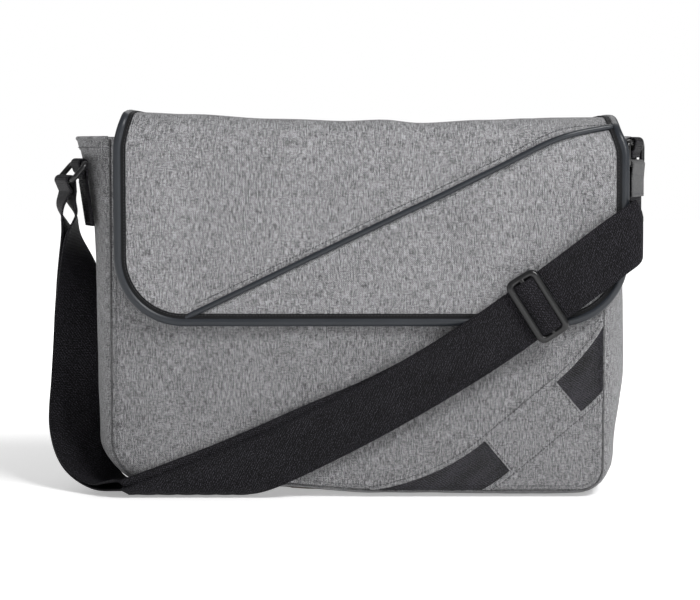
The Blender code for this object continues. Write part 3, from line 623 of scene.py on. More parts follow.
def gussetSurface(s, y, out=0.0):
    # s runs down the left side from the mouth, under the bag and up the right side
    share = 1 - (y / bag["halfDepth"]) ** 2
    edge = gussetHalf - abs(y)
    turnIn = 0.0016 * (1 - ease(edge / 0.0045))
    side = -1 if s < gussetLength / 2 else 1
    down = s if side < 0 else gussetLength - s
    push = out + bag["fabric"] - turnIn
    crease = rough(y * 1.3, s * 0.6, 0.05, 3.0 + side) + 0.4 * rough(y, s, 0.02, 9.0)
    push += ease(edge / 0.015) * bag["sideCreases"] * crease
    if side < 0:
        pinch = math.exp(-(((down - 0.129) / 0.006) ** 2) - ((y + 0.036) / 0.014) ** 2)
        push -= bag["pinch"] * pinch * ease(edge / 0.008)
    swellDown = bag["seamRise"] * min(1.0, (1 - abs(y) / bag["halfDepth"]) / 0.3)
    corner = cornerOf(side)
    low = bag["seamRise"] + corner
    if down < upright[side]:
        z = bag["height"] - down
        x = side * (bag["halfWidth"] + sideBulge(side, z) * share + push)
        return tucked(Vector((x, y, lifted(side * bag["halfWidth"], z))))
    if down < upright[side] + aroundCorner[side]:
        turn = math.pi / 2 * (1 - (down - upright[side]) / aroundCorner[side])
        swell = sideBulge(side, low - corner * math.cos(turn)) * share
        inner = bag["halfWidth"] - corner
        x = side * (inner + (corner + swell + push) * math.sin(turn))
        z = low - (corner + swellDown + min(push - bag["fabric"], 0.0004)) * math.cos(turn)
        return tucked(Vector((x, y, lifted(side * (inner + corner * math.sin(turn)), z))))
    x = side * (bag["halfWidth"] - corner - (down - upright[side] - aroundCorner[side]))
    z = bag["seamRise"] - swellDown - min(push - bag["fabric"], 0.0004)
    return tucked(Vector((x, y, z + liftAt(x))))


def panelSpot(u, v, top):
    cornerShare = 0.36
    if v < cornerShare:
        z = bag["seamRise"] + bag["leftCorner"] * (1 - math.cos(math.pi / 2 * v / cornerShare))
    else:
        low = bag["seamRise"] + bag["leftCorner"]
        z = low + (top - low) * (v - cornerShare) / (1 - cornerShare)
    left, right = seamHalf(z, -1), seamHalf(z, 1)
    return (left + right) * u - left, z


def seamTrack(inset, top, step=0.004):
    # down the left side of a panel, round its lower corners and up the right side, inset from the seam
    half, low = bag["halfWidth"] - inset, bag["seamRise"] + inset
    sides = []
    for side in (-1, 1):
        radius = cornerOf(side) - inset
        track = [(side * half, z) for z in spread(top, low + radius, int((top - low - radius) / step))]
        for i in range(1, 9):
            turn = math.pi / 2 * i / 8
            track.append((side * (half - radius * (1 - math.cos(turn))), low + radius * (1 - math.sin(turn))))
        sides.append(track + [(side * x, low) for x in spread(half - radius, 0, 24)[1:]])
    return sides[0] + list(reversed(sides[1][:-1]))


def makeBody():
    body = {"hem": 0.009, "stitchIn": 0.0042, "welt": 0.0010, "sideRoll": 0.0017, "mouthRoll": 0.0016}
    us = edged(2 * bag["halfWidth"], 64)
    vs = spread(0, 1, 60)
    made = []
    for name, surface, top in (
        ("frontPanel", frontSurface, bag["height"] - bag["gap"]),
        ("backPanel", backSurface, bag["height"]),
    ):
        panel = layer(name, surface, us, vs, lambda u, v: panelSpot(u, v, top), bag["fabric"], paintedShadeBodyGrey)
        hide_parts("front_panel" if surface is frontSurface else "back_panel")
        made.append(panel)

        track = seamTrack(0.0004, bag["height"] - 0.002)
        line = [surface(x, z, -0.0002) for x, z in track]
        # a raised welt along the seam, darkened into a painted shadow line
        made.append(beadPiece(name + "SeamBeadPaintedShadow", line, body["welt"], paintedShadowSeamGrey, sides=8))
        track = seamTrack(body["stitchIn"], bag["height"] - 0.004)
        made.append(stitchPiece(name + "Stitches", surface, [track], threadGrey))
    gusset = layer(
        "gusset",
        gussetSurface,
        spread(0, gussetLength, 190),
        [gussetHalf * (2 * t - 1) for t in edged(2 * gussetHalf, 18)],
        lambda s, y: (s, y),
        bag["fabric"],
        paintedShadeBodyGrey,
    )
    turnCloth(gusset)
    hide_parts("left_gusset", "right_gusset", "bottom_gusset")
    made.append(gusset)
    for side, start in (("left", 0.0), ("right", gussetLength)):
        sign = 1 if start == 0 else -1
        ys = spread(-gussetHalf + 0.001, gussetHalf - 0.001, 24)
        hem = layer(
            side + "MouthHem",
            gussetSurface,
            ys,
            spread(0.0002, body["hem"], 4),
            lambda y, down: (start + sign * down, y),
            0.0006,
            paintedShadeBodyGrey,
            out=0.0005,
        )
        turnCloth(hem)
        made.append(hem)
        rolled = [gussetSurface(start + sign * 0.0006, y, -0.0005) for y in ys]
        # the rolled edge, a little darker with painted shade in its fold
        made.append(beadPiece(side + "MouthRoll", rolled, body["sideRoll"], paintedShadeFoldGrey, sides=10))
        track = [(start + sign * 0.0072, y) for y in ys]
        made.append(stitchPiece(side + "MouthStitches", gussetSurface, [track], threadGrey, height=0.001))
    for name, surface in (("front", frontSurface), ("back", backSurface)):
        xs = spread(-bag["halfWidth"] + 0.004, bag["halfWidth"] - 0.004, 60)
        rolled = [surface(x, bag["height"] - 0.0012, -0.0005) for x in xs]
        # the rolled edge, a little darker with painted shade in its fold
        made.append(beadPiece(name + "MouthRoll", rolled, body["mouthRoll"], paintedShadeFoldGrey, sides=10))
    sewOn(made, "bag")
    print("body made")


accent = {
    "width": 0.0295,
    "thickness": 0.0008,
    "fromRight": 0.077,
    "fromBottom": 0.026,
    "slope": math.radians(40.0),
    "bend": 0.150,
    "patch": 0.067,
    "fold": 0.0065,  # the panel's folded edge over the band
    "foldRise": 0.0013,
    "stitchOut": 0.0028,
}


def bandSpot(along, across):
    turn, middle = accent["slope"], accent["patch"] / 2
    past = max(0.0, abs(along - middle) - middle)
    bend = past**2 / (2 * accent["bend"])
    x = bag["halfWidth"] - accent["fromRight"] + along * math.cos(turn) - bend * math.sin(turn)
    z = bag["seamRise"] + accent["fromBottom"] + along * math.sin(turn) + bend * math.cos(turn)
    return x - across * math.sin(turn), z + across * math.cos(turn)


def bandEnd(across, rising):
    low, high = 0.0, 0.12
    for _ in range(40):
        mid = (low + high) / 2
        x, z = bandSpot(accent["patch"] / 2 + (mid if rising else -mid), across)
        inside = fromEdge(x, z) > 0.0008
        low, high = (mid, high) if inside else (low, mid)
    return accent["patch"] / 2 + (low if rising else -low)


def bandRange(across, u):
    start, end = bandEnd(across, False), bandEnd(across, True)
    return start + (end - start) * u


def makeAccent():
    half = accent["width"] / 2
    us, vs = spread(0, 1, 60), spread(-half, half, 10)
    ends = {v: (bandEnd(v, False), bandEnd(v, True)) for v in vs}

    def bandPlace(u, v):
        start, end = ends[v]
        return bandSpot(start + (end - start) * u, v)

    def laidOut(piece):
        for spot in piece.data.attributes["cloth"].data:
            x, z, _ = spot.vector
            c, s = math.cos(accent["slope"]), math.sin(accent["slope"])
            spot.vector = (x * c + z * s, z * c - x * s, 0)

    band = layer("accentBand", frontSurface, us, vs, bandPlace, accent["thickness"], bandBlack, out=0.0006)
    laidOut(band)
    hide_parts("accent_band")
    patch = layer(
        "accentPatch",
        frontSurface,
        edged(accent["patch"], 26, (0.0006, 0.0014, 0.0024)),
        edged(accent["width"], 12, (0.0008,)),
        lambda u, v: bandSpot(accent["patch"] * u, (v - 0.5) * accent["width"]),
        accent["thickness"],
        paintedShadeBodyGrey,
        out=0.0013,
        taper=lambda u, v: 0.75 + 0.25 * ease(min(u, 1 - u) / 0.03),
    )
    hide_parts("accent_patch")
    made = [patch]
    insets = [-0.0007, 0.0, 0.0008, 0.0022, 0.0042, accent["fold"]]
    rises = [0.35, 0.85, 1.0, 0.75, 0.30, 0.0]
    for name, side in (("upper", 1), ("lower", -1)):
        rows = [side * (half + inset) for inset in insets]
        limits = {a: (bandEnd(a, False), bandEnd(a, True)) for a in rows}
        outer, inner, flat = (np.zeros((61, len(rows), 3)) for _ in range(3))
        for i, u in enumerate(spread(0, 1, 60)):
            for j, across in enumerate(rows):
                low, high = limits[across]
                x, z = bandSpot(low + (high - low) * u, across)
                outer[i, j] = frontSurface(x, z, 0.0001 + accent["foldRise"] * rises[j])
                inner[i, j] = frontSurface(x, z, -0.0006)
                flat[i, j] = (x, z, 0)
        made.append(twoSided(name + "FoldedEdge", outer, inner, flat, paintedShadeBodyGrey))
        across = side * (half + accent["stitchOut"])
        track = [bandSpot(bandRange(across, u), across) for u in spread(0.005, 0.995, 70)]
        made.append(
            stitchPiece(name + "EdgeStitches", frontSurface, [track], threadDark, radius=0.00034, height=0.0009)
        )
    tracks = []
    for along in (0.0016, accent["patch"] - 0.0016):
        tracks.append([bandSpot(along, across) for across in spread(-half + 0.001, half - 0.001, 12)])
    made.append(stitchPiece("patchStitches", frontSurface, tracks, threadDark, height=0.0013))
    sewOn([band], "bag")
    sewOn(made, "bag")
    print("accent band made")


def sideFill(y, z):
    low = bag["seamRise"] + bag["leftCorner"] * 0.6
    return ease((z - low) / (bag["leftCorner"] * 2)) * 0.95 * (1 - (y / bag["halfDepth"]) ** 2)


def liningSpot(u, z):
    # u from 0 to 4 goes round the lining: front, right, back, left
    inset, padding = 0.0015, 0.003
    lowInset = 0.004 * (1 - ease((z - bag["seamRise"] - bag["baseLift"]) / bag["leftCorner"]))
    fit = max(z - bag["baseLift"], bag["seamRise"] + 0.004)
    left, right = (seamHalf(fit, side) - inset - lowInset for side in (-1, 1))
    front, back = -bag["halfDepth"] + inset, bag["halfDepth"] - padding - inset
    part = u % 1
    if u < 1:
        x = (left + right) * part - left
        return tucked(Vector((x, front - bellyAt(x, z), z)))
    if u < 2:
        y = front + (back - front) * part
        return Vector((right + sideBulge(1, z) * sideFill(y, z), y, z))
    if u < 3:
        x = right - (left + right) * part
        return Vector((x, back + bellyAt(x, z) * 0.8, z))
    y = back + (front - back) * part
    return tucked(Vector((-left - sideBulge(-1, z) * sideFill(y, z), y, z)))


def makeInside():
    inside = {"floor": 0.0118, "pocketTop": 0.215, "pocketY": 0.031, "loose": 0.0009}
    around = [k + t / n for k, n in enumerate((44, 14, 44, 14)) for t in range(n)]
    heights = [bag["height"] - 0.0015] + spread(0.25, 0.06, 24)
    heights += [0.05, 0.042, 0.034, 0.028, 0.022, 0.017, 0.0135, inside["floor"]]  # closer together at the corners
    outer, inner, flat = (np.zeros((len(around), len(heights) + 5, 3)) for _ in range(3))
    for i, u in enumerate(around):
        for j, z in enumerate(heights):
            place = liningSpot(u, z)
            centre = Vector((place.x * 0.9, 0, z))
            inwards = (centre - place).normalized()
            loose = inside["loose"] * (0.5 + rough(u * 0.1, z, 0.035, 5.0)) * ease((z - 0.02) / 0.03)
            place = place + inwards * max(0.0, loose)
            outer[i, j] = place
            inner[i, j] = place + inwards * 0.0006
            flat[i, j] = (u * 0.09, z, 0)
        rim = liningSpot(u, inside["floor"])
        for k, share in enumerate((0.9, 0.7, 0.45, 0.2, 0.0)):
            place = Vector((rim.x * share, rim.y * share, inside["floor"]))
            outer[i, len(heights) + k] = place
            inner[i, len(heights) + k] = place + Vector((0, 0, 0.0006))
            flat[i, len(heights) + k] = (place.x, place.y, 0)
    lining = twoSided("lining", outer, inner, flat, liningCloth, closed=True)
    tidy = bmesh.new()
    tidy.from_mesh(lining.data)
    bmesh.ops.remove_doubles(tidy, verts=tidy.verts, dist=1e-5)
    tidy.to_mesh(lining.data)
    tidy.free()
    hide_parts("lining")

    half = bag["halfWidth"] - 0.0045
    low = bag["seamRise"] + bag["leftCorner"] + bag["baseLift"]

    def pocketSurface(x, z, out=0.0):
        up = ease((z - low) / (inside["pocketTop"] - low))
        sag = 0.004 * up * (1 - (x / half) ** 2) + 0.0008 * rough(x, z, 0.04, 11.0)
        return Vector((x, inside["pocketY"] - sag - out, z))

    pocket = layer(
        "innerPocket",
        pocketSurface,
        spread(-half, half, 60),
        spread(low, inside["pocketTop"], 36),
        lambda x, z: (x, z),
        0.0011,
        liningCloth,
    )
    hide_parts("inner_pocket")
    hem = layer(
        "pocketHem",
        pocketSurface,
        spread(-half, half, 60),
        spread(inside["pocketTop"] - 0.013, inside["pocketTop"] + 0.0008, 5),
        lambda x, z: (x, z),
        0.0009,
        liningCloth,
        out=0.0009,
    )
    tracks = [[(x, inside["pocketTop"] - 0.011) for x in spread(-half + 0.002, half - 0.002, 60)]]
    tracks.append([(0.02, z) for z in spread(low + 0.003, inside["pocketTop"] - 0.002, 30)])
    tacks = stitchPiece("pocketStitches", pocketSurface, tracks, threadGrey, height=0.0009)
    padLow = bag["baseLift"] + bag["seamRise"] + bag["leftCorner"]
    padHigh = bag["height"] - 0.006

    def padSurface(x, z, out=0.0):
        # stitched into channels, so that it is thickest between them
        quilt = abs(math.sin(math.pi * (x + 0.1785) / 0.0595))
        edge = min(half - abs(x), z - padLow, padHigh - z)
        full = 0.45 + 0.55 * ease(edge / 0.008) * (0.55 + 0.45 * quilt**0.5)
        return Vector((x, bag["halfDepth"] + bellyAt(x, z) - bag["gap"] - 0.003 * full - out, z))

    outer, inner, flat = (np.zeros((61, 37, 3)) for _ in range(3))
    for i, x in enumerate(spread(-half, half, 60)):
        for j, z in enumerate(spread(padLow, padHigh, 36)):
            outer[i, j] = padSurface(x, z)
            inner[i, j] = (x, bag["halfDepth"] + bellyAt(x, z) - bag["gap"] - 0.0002, z)
            flat[i, j] = (x, z, 0)
    padding = twoSided("backPadding", outer, inner, flat, foamFinish)
    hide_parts("back_padding")
    sewOn([padding], "bag")
    sewOn([lining, pocket, hem, tacks], "bag")
    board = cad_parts["base_board"]
    board.data.materials.clear()
    board.data.materials.append(boardFinish)
    print("inside made")


ridge = [  # the top line: high at both ends, sagging between them
    (-0.175, 0.0062),
    (-0.120, 0.0040),
    (-0.060, 0.0008),
    (-0.010, -0.0008),
    (0.018, 0.0002),
    (0.045, -0.0022),
    (0.090, 0.0000),
    (0.150, 0.0022),
    (0.195, 0.0028),
]


def lidSurface(x, along, out=0.0):
    # along runs over the bag from the back edge; below zero it goes down the back panel
    place = lidShape(x, along, out)
    # the fold is rounder at both ends, most of all at the right
    soft = lid["softRight"] * ease((x - 0.115) / 0.075) + lid["softLeft"] * ease((-0.120 - x) / 0.05)
    soft *= math.exp(-(((along - lid["fold"] - 0.009) / 0.022) ** 2))
    return place + Vector((0, soft * 0.6, -soft))


def lidShape(x, along, out):
    topness = 1 - ease((along - lid["fold"] - 0.002) / 0.030)
    sag = curveValue(ridge, x) * (1 - ease((along - lid["fold"]) / 0.085))
    if along < 0:
        sag *= 1 - ease(-along / 0.03)
    middle = (lid["left"] + lid["right"]) / 2
    if x > middle:
        x -= lid["endsIn"] * topness * ease((x - 0.085) / 0.105)
    else:
        x += lid["endsIn"] * topness * ease((-0.070 - x) / 0.100)
    top = lid["top"] + sag
    if along < 0:
        radius = lid["tailRoll"]
        turn = min(-along / radius, math.pi / 2)
        past = max(0.0, -along - radius * math.pi / 2)
        reach = radius + out
        z = top - radius + reach * math.cos(turn) - past
        y = lid["back"] + reach * math.sin(turn)
        if past > 0:
            resting = backSurface(max(-0.174, min(0.174, x)), min(z, bag["height"]), 0.0018 + out).y
            y = y + (resting - y) * ease(past / 0.012)
        return Vector((x, y, z))
    if along < lid["fold"]:
        share = along / lid["fold"]
        dip = -0.0012 * math.sin(math.pi * share) * ease((0.15 - abs(x - 0.01)) / 0.1)
        dip += 0.0005 * rough(x, along, 0.04, 21.0) * ease(share / 0.2)
        return Vector((x, lid["back"] - along, top + dip + out))
    past = along - lid["fold"]
    turnY = lid["front"] - lid["roll"]
    if past < lidRoll:
        turn = past / lid["roll"]
        reach = lid["roll"] + out
        z = top - lid["roll"] + reach * math.cos(turn)
        return Vector((x, -turnY - reach * math.sin(turn), z))
    down = past - lidRoll
    loose = ease(down / 0.05)
    fromSide = min(x - lid["left"], lid["right"] - x)
    push = lid["billow"] * loose * ease(fromSide / 0.07) * math.sin(math.pi * min(1.0, down / 0.150))
    crease = rough(x, down, 0.05, 31.0) + 0.4 * rough(x, down, 0.02, 33.0)
    push += 0.0006 * loose * ease(fromSide / 0.03) * crease
    return Vector((x, -lid["front"] - push - out, top - lid["roll"] - down))


def lidEnd(x, inset):
    radius = lid["corner"] - inset
    fromSide = min(x - lid["left"], lid["right"] - x) - inset
    end = lidLength - inset
    if fromSide < radius:
        across = radius - max(0.0, fromSide)
        end -= radius - math.sqrt(max(0.0, radius**2 - across**2))
    return end


def crowdedX(u, inset):
    # across the lid, with columns crowded into its round corners
    left, right = lid["left"] + inset, lid["right"] - inset
    corner, wide = 0.25, lid["corner"] - inset
    if u < corner:
        return left + wide * (1 - math.cos(math.pi / 2 * u / corner))
    if u > 1 - corner:
        return right - wide * (1 - math.cos(math.pi / 2 * (1 - u) / corner))
    return left + wide + (right - left - 2 * wide) * (u - corner) / (1 - 2 * corner)


splitAt = 0.045  # where the lid's two moving halves meet, from its back edge
diagonal = {
    "x": -0.118,
    "z": 0.1335,
    "slope": 0.479,
    "flatten": 0.140,  # from here it bends over towards level
    "bend": 7.6,
    "radius": 0.0021,
    "out": 0.0010,
    "stitchesAbove": 0.0056,
}


def followHinge(piece):
    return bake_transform(piece)


def followTurn(piece):
    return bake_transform(piece)


def diagonalAlong(x):
    past = max(0.0, x - diagonal["flatten"])
    z = diagonal["z"] + (x - diagonal["x"]) * diagonal["slope"] - diagonal["bend"] / 2 * past**2
    onRoll = z - (lid["top"] - lid["roll"])
    if onRoll > 0:
        return lid["fold"] + lid["roll"] * math.acos(min(1.0, onRoll / lid["roll"]))
    return lid["fold"] + lidRoll - onRoll


def edgeSpot(k, inset, back):
    # the lid's outline, k from 0 to 1: down the left, round, along the lower edge and up the right
    radius = lid["corner"] - inset
    sideRun = lidLength - lid["corner"] - back
    lowRun = lid["right"] - lid["left"] - 2 * lid["corner"]
    arc = lid["corner"] * math.pi / 2
    total = 2 * sideRun + 2 * arc + lowRun
    s = k * total
    mirrored = s > total / 2
    s = min(s, total - s)
    if s < sideRun:
        spot = (lid["left"] + inset, back + s)
    elif s < sideRun + arc:
        angle = (s - sideRun) / lid["corner"]
        x = lid["left"] + lid["corner"] - radius * math.cos(angle)
        spot = (x, lidLength - lid["corner"] + radius * math.sin(angle))
    else:
        spot = (lid["left"] + lid["corner"] + (s - sideRun - arc), lidLength - inset)
    return (lid["left"] + lid["right"] - spot[0], spot[1]) if mirrored else spot


def makeLid():
    look = {"binding": 0.0032, "flange": 0.0031, "flangeThick": 0.0007, "inset": 0.0060}
    stitchLook = {"pitch": 0.0023, "length": 0.0017, "height": 0.0008}
    vsBack = spread(-lid["tail"], -0.012, 12) + spread(-0.011, 0.018, 22) + spread(0.021, splitAt, 6)
    turnRows = spread(splitAt, lid["fold"] - 0.010, 9)
    turnRows += spread(lid["fold"] - 0.008, lid["fold"] + lidRoll + 0.006, 16)

    def backSpot(u, v):
        return crowdedX(u, look["inset"]), v

    backUs = spread(0, 1, 84)
    back = layer("lidBack", lidSurface, backUs, vsBack, backSpot, bag["fabric"], grey)
    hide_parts("flap_top")

    # the front half is two panels that meet at the diagonal seam
    for name, above in (("lidUpperPanel", True), ("lidLowerPanel", False)):
        us = spread(0, 1, 84)
        columns = []
        for u in us:
            x = crowdedX(u, look["inset"])
            cut = min(max(diagonalAlong(x), splitAt), lidEnd(x, look["inset"]))
            low, high = (splitAt, cut) if above else (cut, lidEnd(x, look["inset"]))
            if high - low > 0.0004:
                columns.append((x, low, high))
        count = 48
        outer, inner, flat = (np.zeros((len(columns), count + 1, 3)) for _ in range(3))
        for i, (x, low, high) in enumerate(columns):
            for j in range(count + 1):
                # rows crowd where the cloth turns down
                share = j / count
                if above:
                    bend = lid["fold"] + lidRoll
                    knee = min(1.0, (min(bend, high) - low) / (high - low))
                    share = knee * (share / 0.5) if share < 0.5 else knee + (1 - knee) * (share - 0.5) / 0.5
                along = low + (high - low) * share
                near = min(abs(along - diagonalAlong(x)) / 0.0035, 1.0)
                dip = -0.0006 * (1 - ease(near))
                outer[i, j] = lidSurface(x, along, dip)
                inner[i, j] = lidSurface(x, along, -bag["fabric"])
                flat[i, j] = (x, along, 0)
        panel = twoSided(name, outer, inner, flat, grey)
        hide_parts("flap_front_upper" if above else "flap_front_lower")
        cut = sum((b[0] - a[0]) * (a[2] - a[1] + b[2] - b[1]) / 2 for a, b in zip(columns, columns[1:]))
        followTurn(panel)
    followHinge(back)

    under = -bag["fabric"] - 0.0008
    overTop = [v for v in vsBack if v > 0.0005]
    liningBack = layer(
        "lidLiningBack", lidSurface, backUs, overTop, backSpot, lid["lining"], liningCloth, out=under
    )
    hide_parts("flap_top_lining")
    followHinge(liningBack)
    lowRows = 28

    def frontSpot(u, j):
        x = crowdedX(u, look["inset"])
        if j < len(turnRows):
            return x, turnRows[j]
        share = (j - len(turnRows) + 1) / lowRows
        start = turnRows[-1]
        return x, start + (lidEnd(x, look["inset"]) - start) * share

    allRows = list(range(len(turnRows) + lowRows))
    liningFront = layer(
        "lidLiningFront", lidSurface, backUs, allRows, frontSpot, lid["lining"], liningCloth, out=under
    )
    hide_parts("flap_front_lining")
    followTurn(liningFront)

    # binding: a round bead on the edge, and the flat sewn part of it inside, on both faces
    core = -lid["layers"] / 2
    made = []
    frontKs = spread(0, 1, 260)
    route = [lidSurface(*edgeSpot(k, look["binding"], splitAt), core) for k in frontKs]
    bead = beadPiece("lidBinding", route, look["binding"], slate, sides=16)
    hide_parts("flap_binding")
    made.append(bead)
    inner, outerEdge = look["inset"] + look["flange"], look["binding"] * 1.5
    for name, out in (("lidFlange", look["flangeThick"]), ("lidFlangeUnder", -lid["layers"])):
        made.append(
            layer(
                name,
                lidSurface,
                spread(outerEdge, inner, 3),
                frontKs,
                lambda inset, k: edgeSpot(k, inset, splitAt),
                look["flangeThick"],
                flangeBlack,
                out=out,
            )
        )
    stitchIn = look["inset"] + look["flange"] * 0.62
    track = [edgeSpot(k, stitchIn, splitAt) for k in frontKs]
    made.append(stitchPiece("lidStitches", lidSurface, [track], threadDark, **stitchLook))
    for piece in made:
        followTurn(piece)
    for side, edge, sign in (("left", lid["left"], 1), ("right", lid["right"], -1)):
        alongs = spread(-lid["tail"] + 0.004, -0.010, 12)
        alongs += spread(-0.009, 0.016, 22) + spread(0.019, splitAt, 6)
        route = [lidSurface(edge + sign * look["binding"], along, core) for along in alongs]
        bead = beadPiece(side + "TopBinding", route, look["binding"], slate, sides=16)
        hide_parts("flap_top_binding_" + side)
        flange = layer(
            side + "TopFlange",
            lidSurface,
            [edge + sign * inset for inset in spread(outerEdge, inner, 3)],
            alongs,
            lambda x, along: (x, along),
            look["flangeThick"],
            flangeBlack,
            out=look["flangeThick"],
        )
        track = [(edge + sign * stitchIn, along) for along in alongs]
        stitches = stitchPiece(side + "TopStitches", lidSurface, [track], threadDark, **stitchLook)
        for piece in (bead, flange, stitches):
            followHinge(piece)

    # the diagonal piping, with its row of stitches above it
    endX = lid["right"] - look["inset"] - look["flange"] + 0.002
    startX = diagonal["x"]
    xs = spread(startX - 0.005, endX, 160)
    line = []
    for x in xs:
        sink = 0.0022 * (1 - ease((x - xs[0]) / 0.012))  # its lower end dives under the binding
        line.append(lidSurface(x, diagonalAlong(x), diagonal["out"] - sink))
    piping = beadPiece("diagonalPiping", line, diagonal["radius"], slate, sides=14)
    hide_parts("diagonal_piping")
    steep = math.hypot(1, diagonal["slope"])
    above = diagonal["stitchesAbove"] * steep
    track = [(x, diagonalAlong(x) - above) for x in spread(startX + 0.004, endX - 0.004, 160)]
    row = stitchPiece("diagonalStitches", lidSurface, [track], threadDark, height=0.0001)
    for piece in (piping, row):
        followTurn(piece)
    tracks = []
    for up in (0.008, 0.020):
        xs = spread(lid["left"] + 0.012, lid["right"] - 0.012, 90)
        tracks.append([(x, -lid["tail"] + up) for x in xs])
    tail = stitchPiece("tailStitches", lidSurface, tracks, threadGrey, height=0.0001)
    followHinge(tail)
    print("lid made")


def makeTapes():
    tape = {"length": 0.080, "height": 0.020, "thick": 0.0008, "apart": 0.180, "rise": 0.030, "hook": 0.00035}
    for side, middle in (("left", -tape["apart"] / 2), ("right", tape["apart"] / 2)):
        lidMiddle = lidLength - tape["rise"]
        alongs = spread(lidMiddle + tape["height"] / 2, lidMiddle - tape["height"] / 2, 6)
        xs = spread(middle - tape["length"] / 2, middle + tape["length"] / 2, 20)
        hook = layer(
            side + "HookTape",
            lidSurface,
            xs,
            alongs,
            lambda x, along: (x, along),
            tape["thick"],
            hookFinish,
            out=-lid["layers"] - 0.0001,
        )
        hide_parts("hook_tape_" + side)
        # the hooks themselves, short pegs in rows
        points, faces, flat = [], [], []
        for x in spread(xs[0] + 0.003, xs[-1] - 0.003, 33):
            for along in spread(alongs[0] - 0.003, alongs[-1] + 0.003, 7):
                start = len(points)
                for out, share in ((-0.0036, 1.0), (-0.0042, 0.7), (-0.0045, 0.9)):
                    for k in range(4):
                        angle, wide = math.pi / 2 * k, tape["hook"] * share
                        spot = (x + wide * math.cos(angle), along + wide * math.sin(angle))
                        points.append(lidSurface(*spot, out))
                        flat.append((x, along, 0))
                for ring in range(2):
                    for k in range(4):
                        i, j = start + ring * 4 + k, start + ring * 4 + (k + 1) % 4
                        faces.append((i, j, j + 4, i + 4))
                faces.append((start + 3, start + 2, start + 1, start))
                faces.append((start + 8, start + 9, start + 10, start + 11))
        hooks = addPiece(side + "Hooks", points, faces, hookFinish, flat)
        sewOn([hook, hooks], "flap_front")
        low = lid["top"] - lid["drop"] + tape["rise"] - tape["height"] / 2
        loop = layer(
            side + "LoopTape",
            frontSurface,
            xs,
            spread(low, low + tape["height"], 10),
            lambda x, z: (x, z),
            tape["thick"],
            hookFinish,
            out=tape["thick"] + 0.0002,
        )
        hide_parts("loop_tape_" + side)
        first, last = xs[0] + 0.0015, xs[-1] - 0.0015
        lowSeam, highSeam = low + 0.0015, low + tape["height"] - 0.0015
        border = [(first, lowSeam), (last, lowSeam), (last, highSeam), (first, highSeam), (first, lowSeam)]
        fine = []
        for a, b in zip(border, border[1:]):
            fine += [tuple(Vector(a).lerp(Vector(b), t)) for t in spread(0, 0.95, 12)]
        seam = stitchPiece(side + "TapeStitches", frontSurface, [fine], threadBlack, height=0.0011)
        sewOn([loop, seam], "bag")
    print("tapes made")


strap = {
    "width": 0.040,
    "webbing": 0.0016,
    "tabWidth": 0.025,
    "tabLength": 0.046,
    "tabFold": 0.011,
    "tabForward": 0.022,
    "tabStandoff": 0.0036,
    "ringBar": 0.0020,
    "ringReach": 0.016,
    "ringRoom": 0.0015,
    "sleeve": 0.0235,
    "sideX": 0.0255,
    "front": 0.0665,
    "lowFront": 0.0580,
    "sideTurn": 0.008,
    "underTurn": 0.010,
    "floor": 0.0016,
    "pitch": 0.0021,  # between the two layers' middles
    "slip": 0.0062,
}
upperRoute = [(0.1285, 0.1398), (0.1570, 0.1610), (0.1850, 0.1822), (0.2090, 0.1990)]
lowerRoute = [
    (0.1285, 0.1398),
    (0.1000, 0.1195),
    (0.0750, 0.1030),
    (0.0415, 0.0824),
    (0.0020, 0.0598),
    (-0.0410, 0.0377),
    (-0.0770, 0.0214),
    (-0.1080, 0.0088),
    (-0.1360, -0.0020),
    (-0.1620, -0.0115),
]
leftRoute = [
    ((-0.1850, -0.0230, 0.0058), (-0.50, -0.86, -0.05)),
    ((-0.2045, -0.0040, 0.0240), (-0.74, -0.60, -0.30)),
    ((-0.2125, 0.0130, 0.0470), (-0.93, -0.32, -0.16)),
    ((-0.2118, 0.0260, 0.0780), (-1.00, -0.06, -0.03)),
    ((-0.2100, 0.0285, 0.1120), (-1.00, -0.10, 0.00)),
    ((-0.2085, 0.0220, 0.1440), (-0.86, -0.50, 0.00)),
    ((-0.2105, 0.0090, 0.1680), (-0.52, -0.85, 0.00)),
    ((-0.2140, -0.0060, 0.1900), (-0.10, -0.99, 0.00)),
    ((-0.2180, -0.0170, 0.2080), (0.22, -0.97, 0.00)),
]
shares = [-1.0, -0.95, -0.75, -0.5, -0.25, 0.0, 0.25, 0.5, 0.75, 0.95, 1.0]


def plainSide(side, y, z):
    swell = sideBulge(side, z) * (1 - (y / bag["halfDepth"]) ** 2)
    return Vector((side * (bag["halfWidth"] + swell), y, z))


def anchorAt(side, belowMouth, tilt):
    z = bag["height"] - belowMouth
    here = plainSide(side, -strap["tabForward"], z)
    across = (plainSide(side, -strap["tabForward"] + 0.004, z) - here).normalized()
    rise = here - plainSide(side, -strap["tabForward"], z - 0.016)
    out = across.cross(rise).normalized() * side
    up = out.cross(across).normalized() * side
    bar = here + out * (bag["fabric"] + strap["tabStandoff"] + strap["webbing"])
    swing = math.radians(tilt)
    hang = (out * math.sin(swing) - up * math.cos(swing)).normalized()
    hangOut = (out * math.cos(swing) + up * math.sin(swing)).normalized()
    made = SimpleNamespace(across=across, out=out, up=up, bar=bar, hang=hang, hangOut=hangOut)
    made.outerBar = bar + hang * strap["ringReach"]
    return made


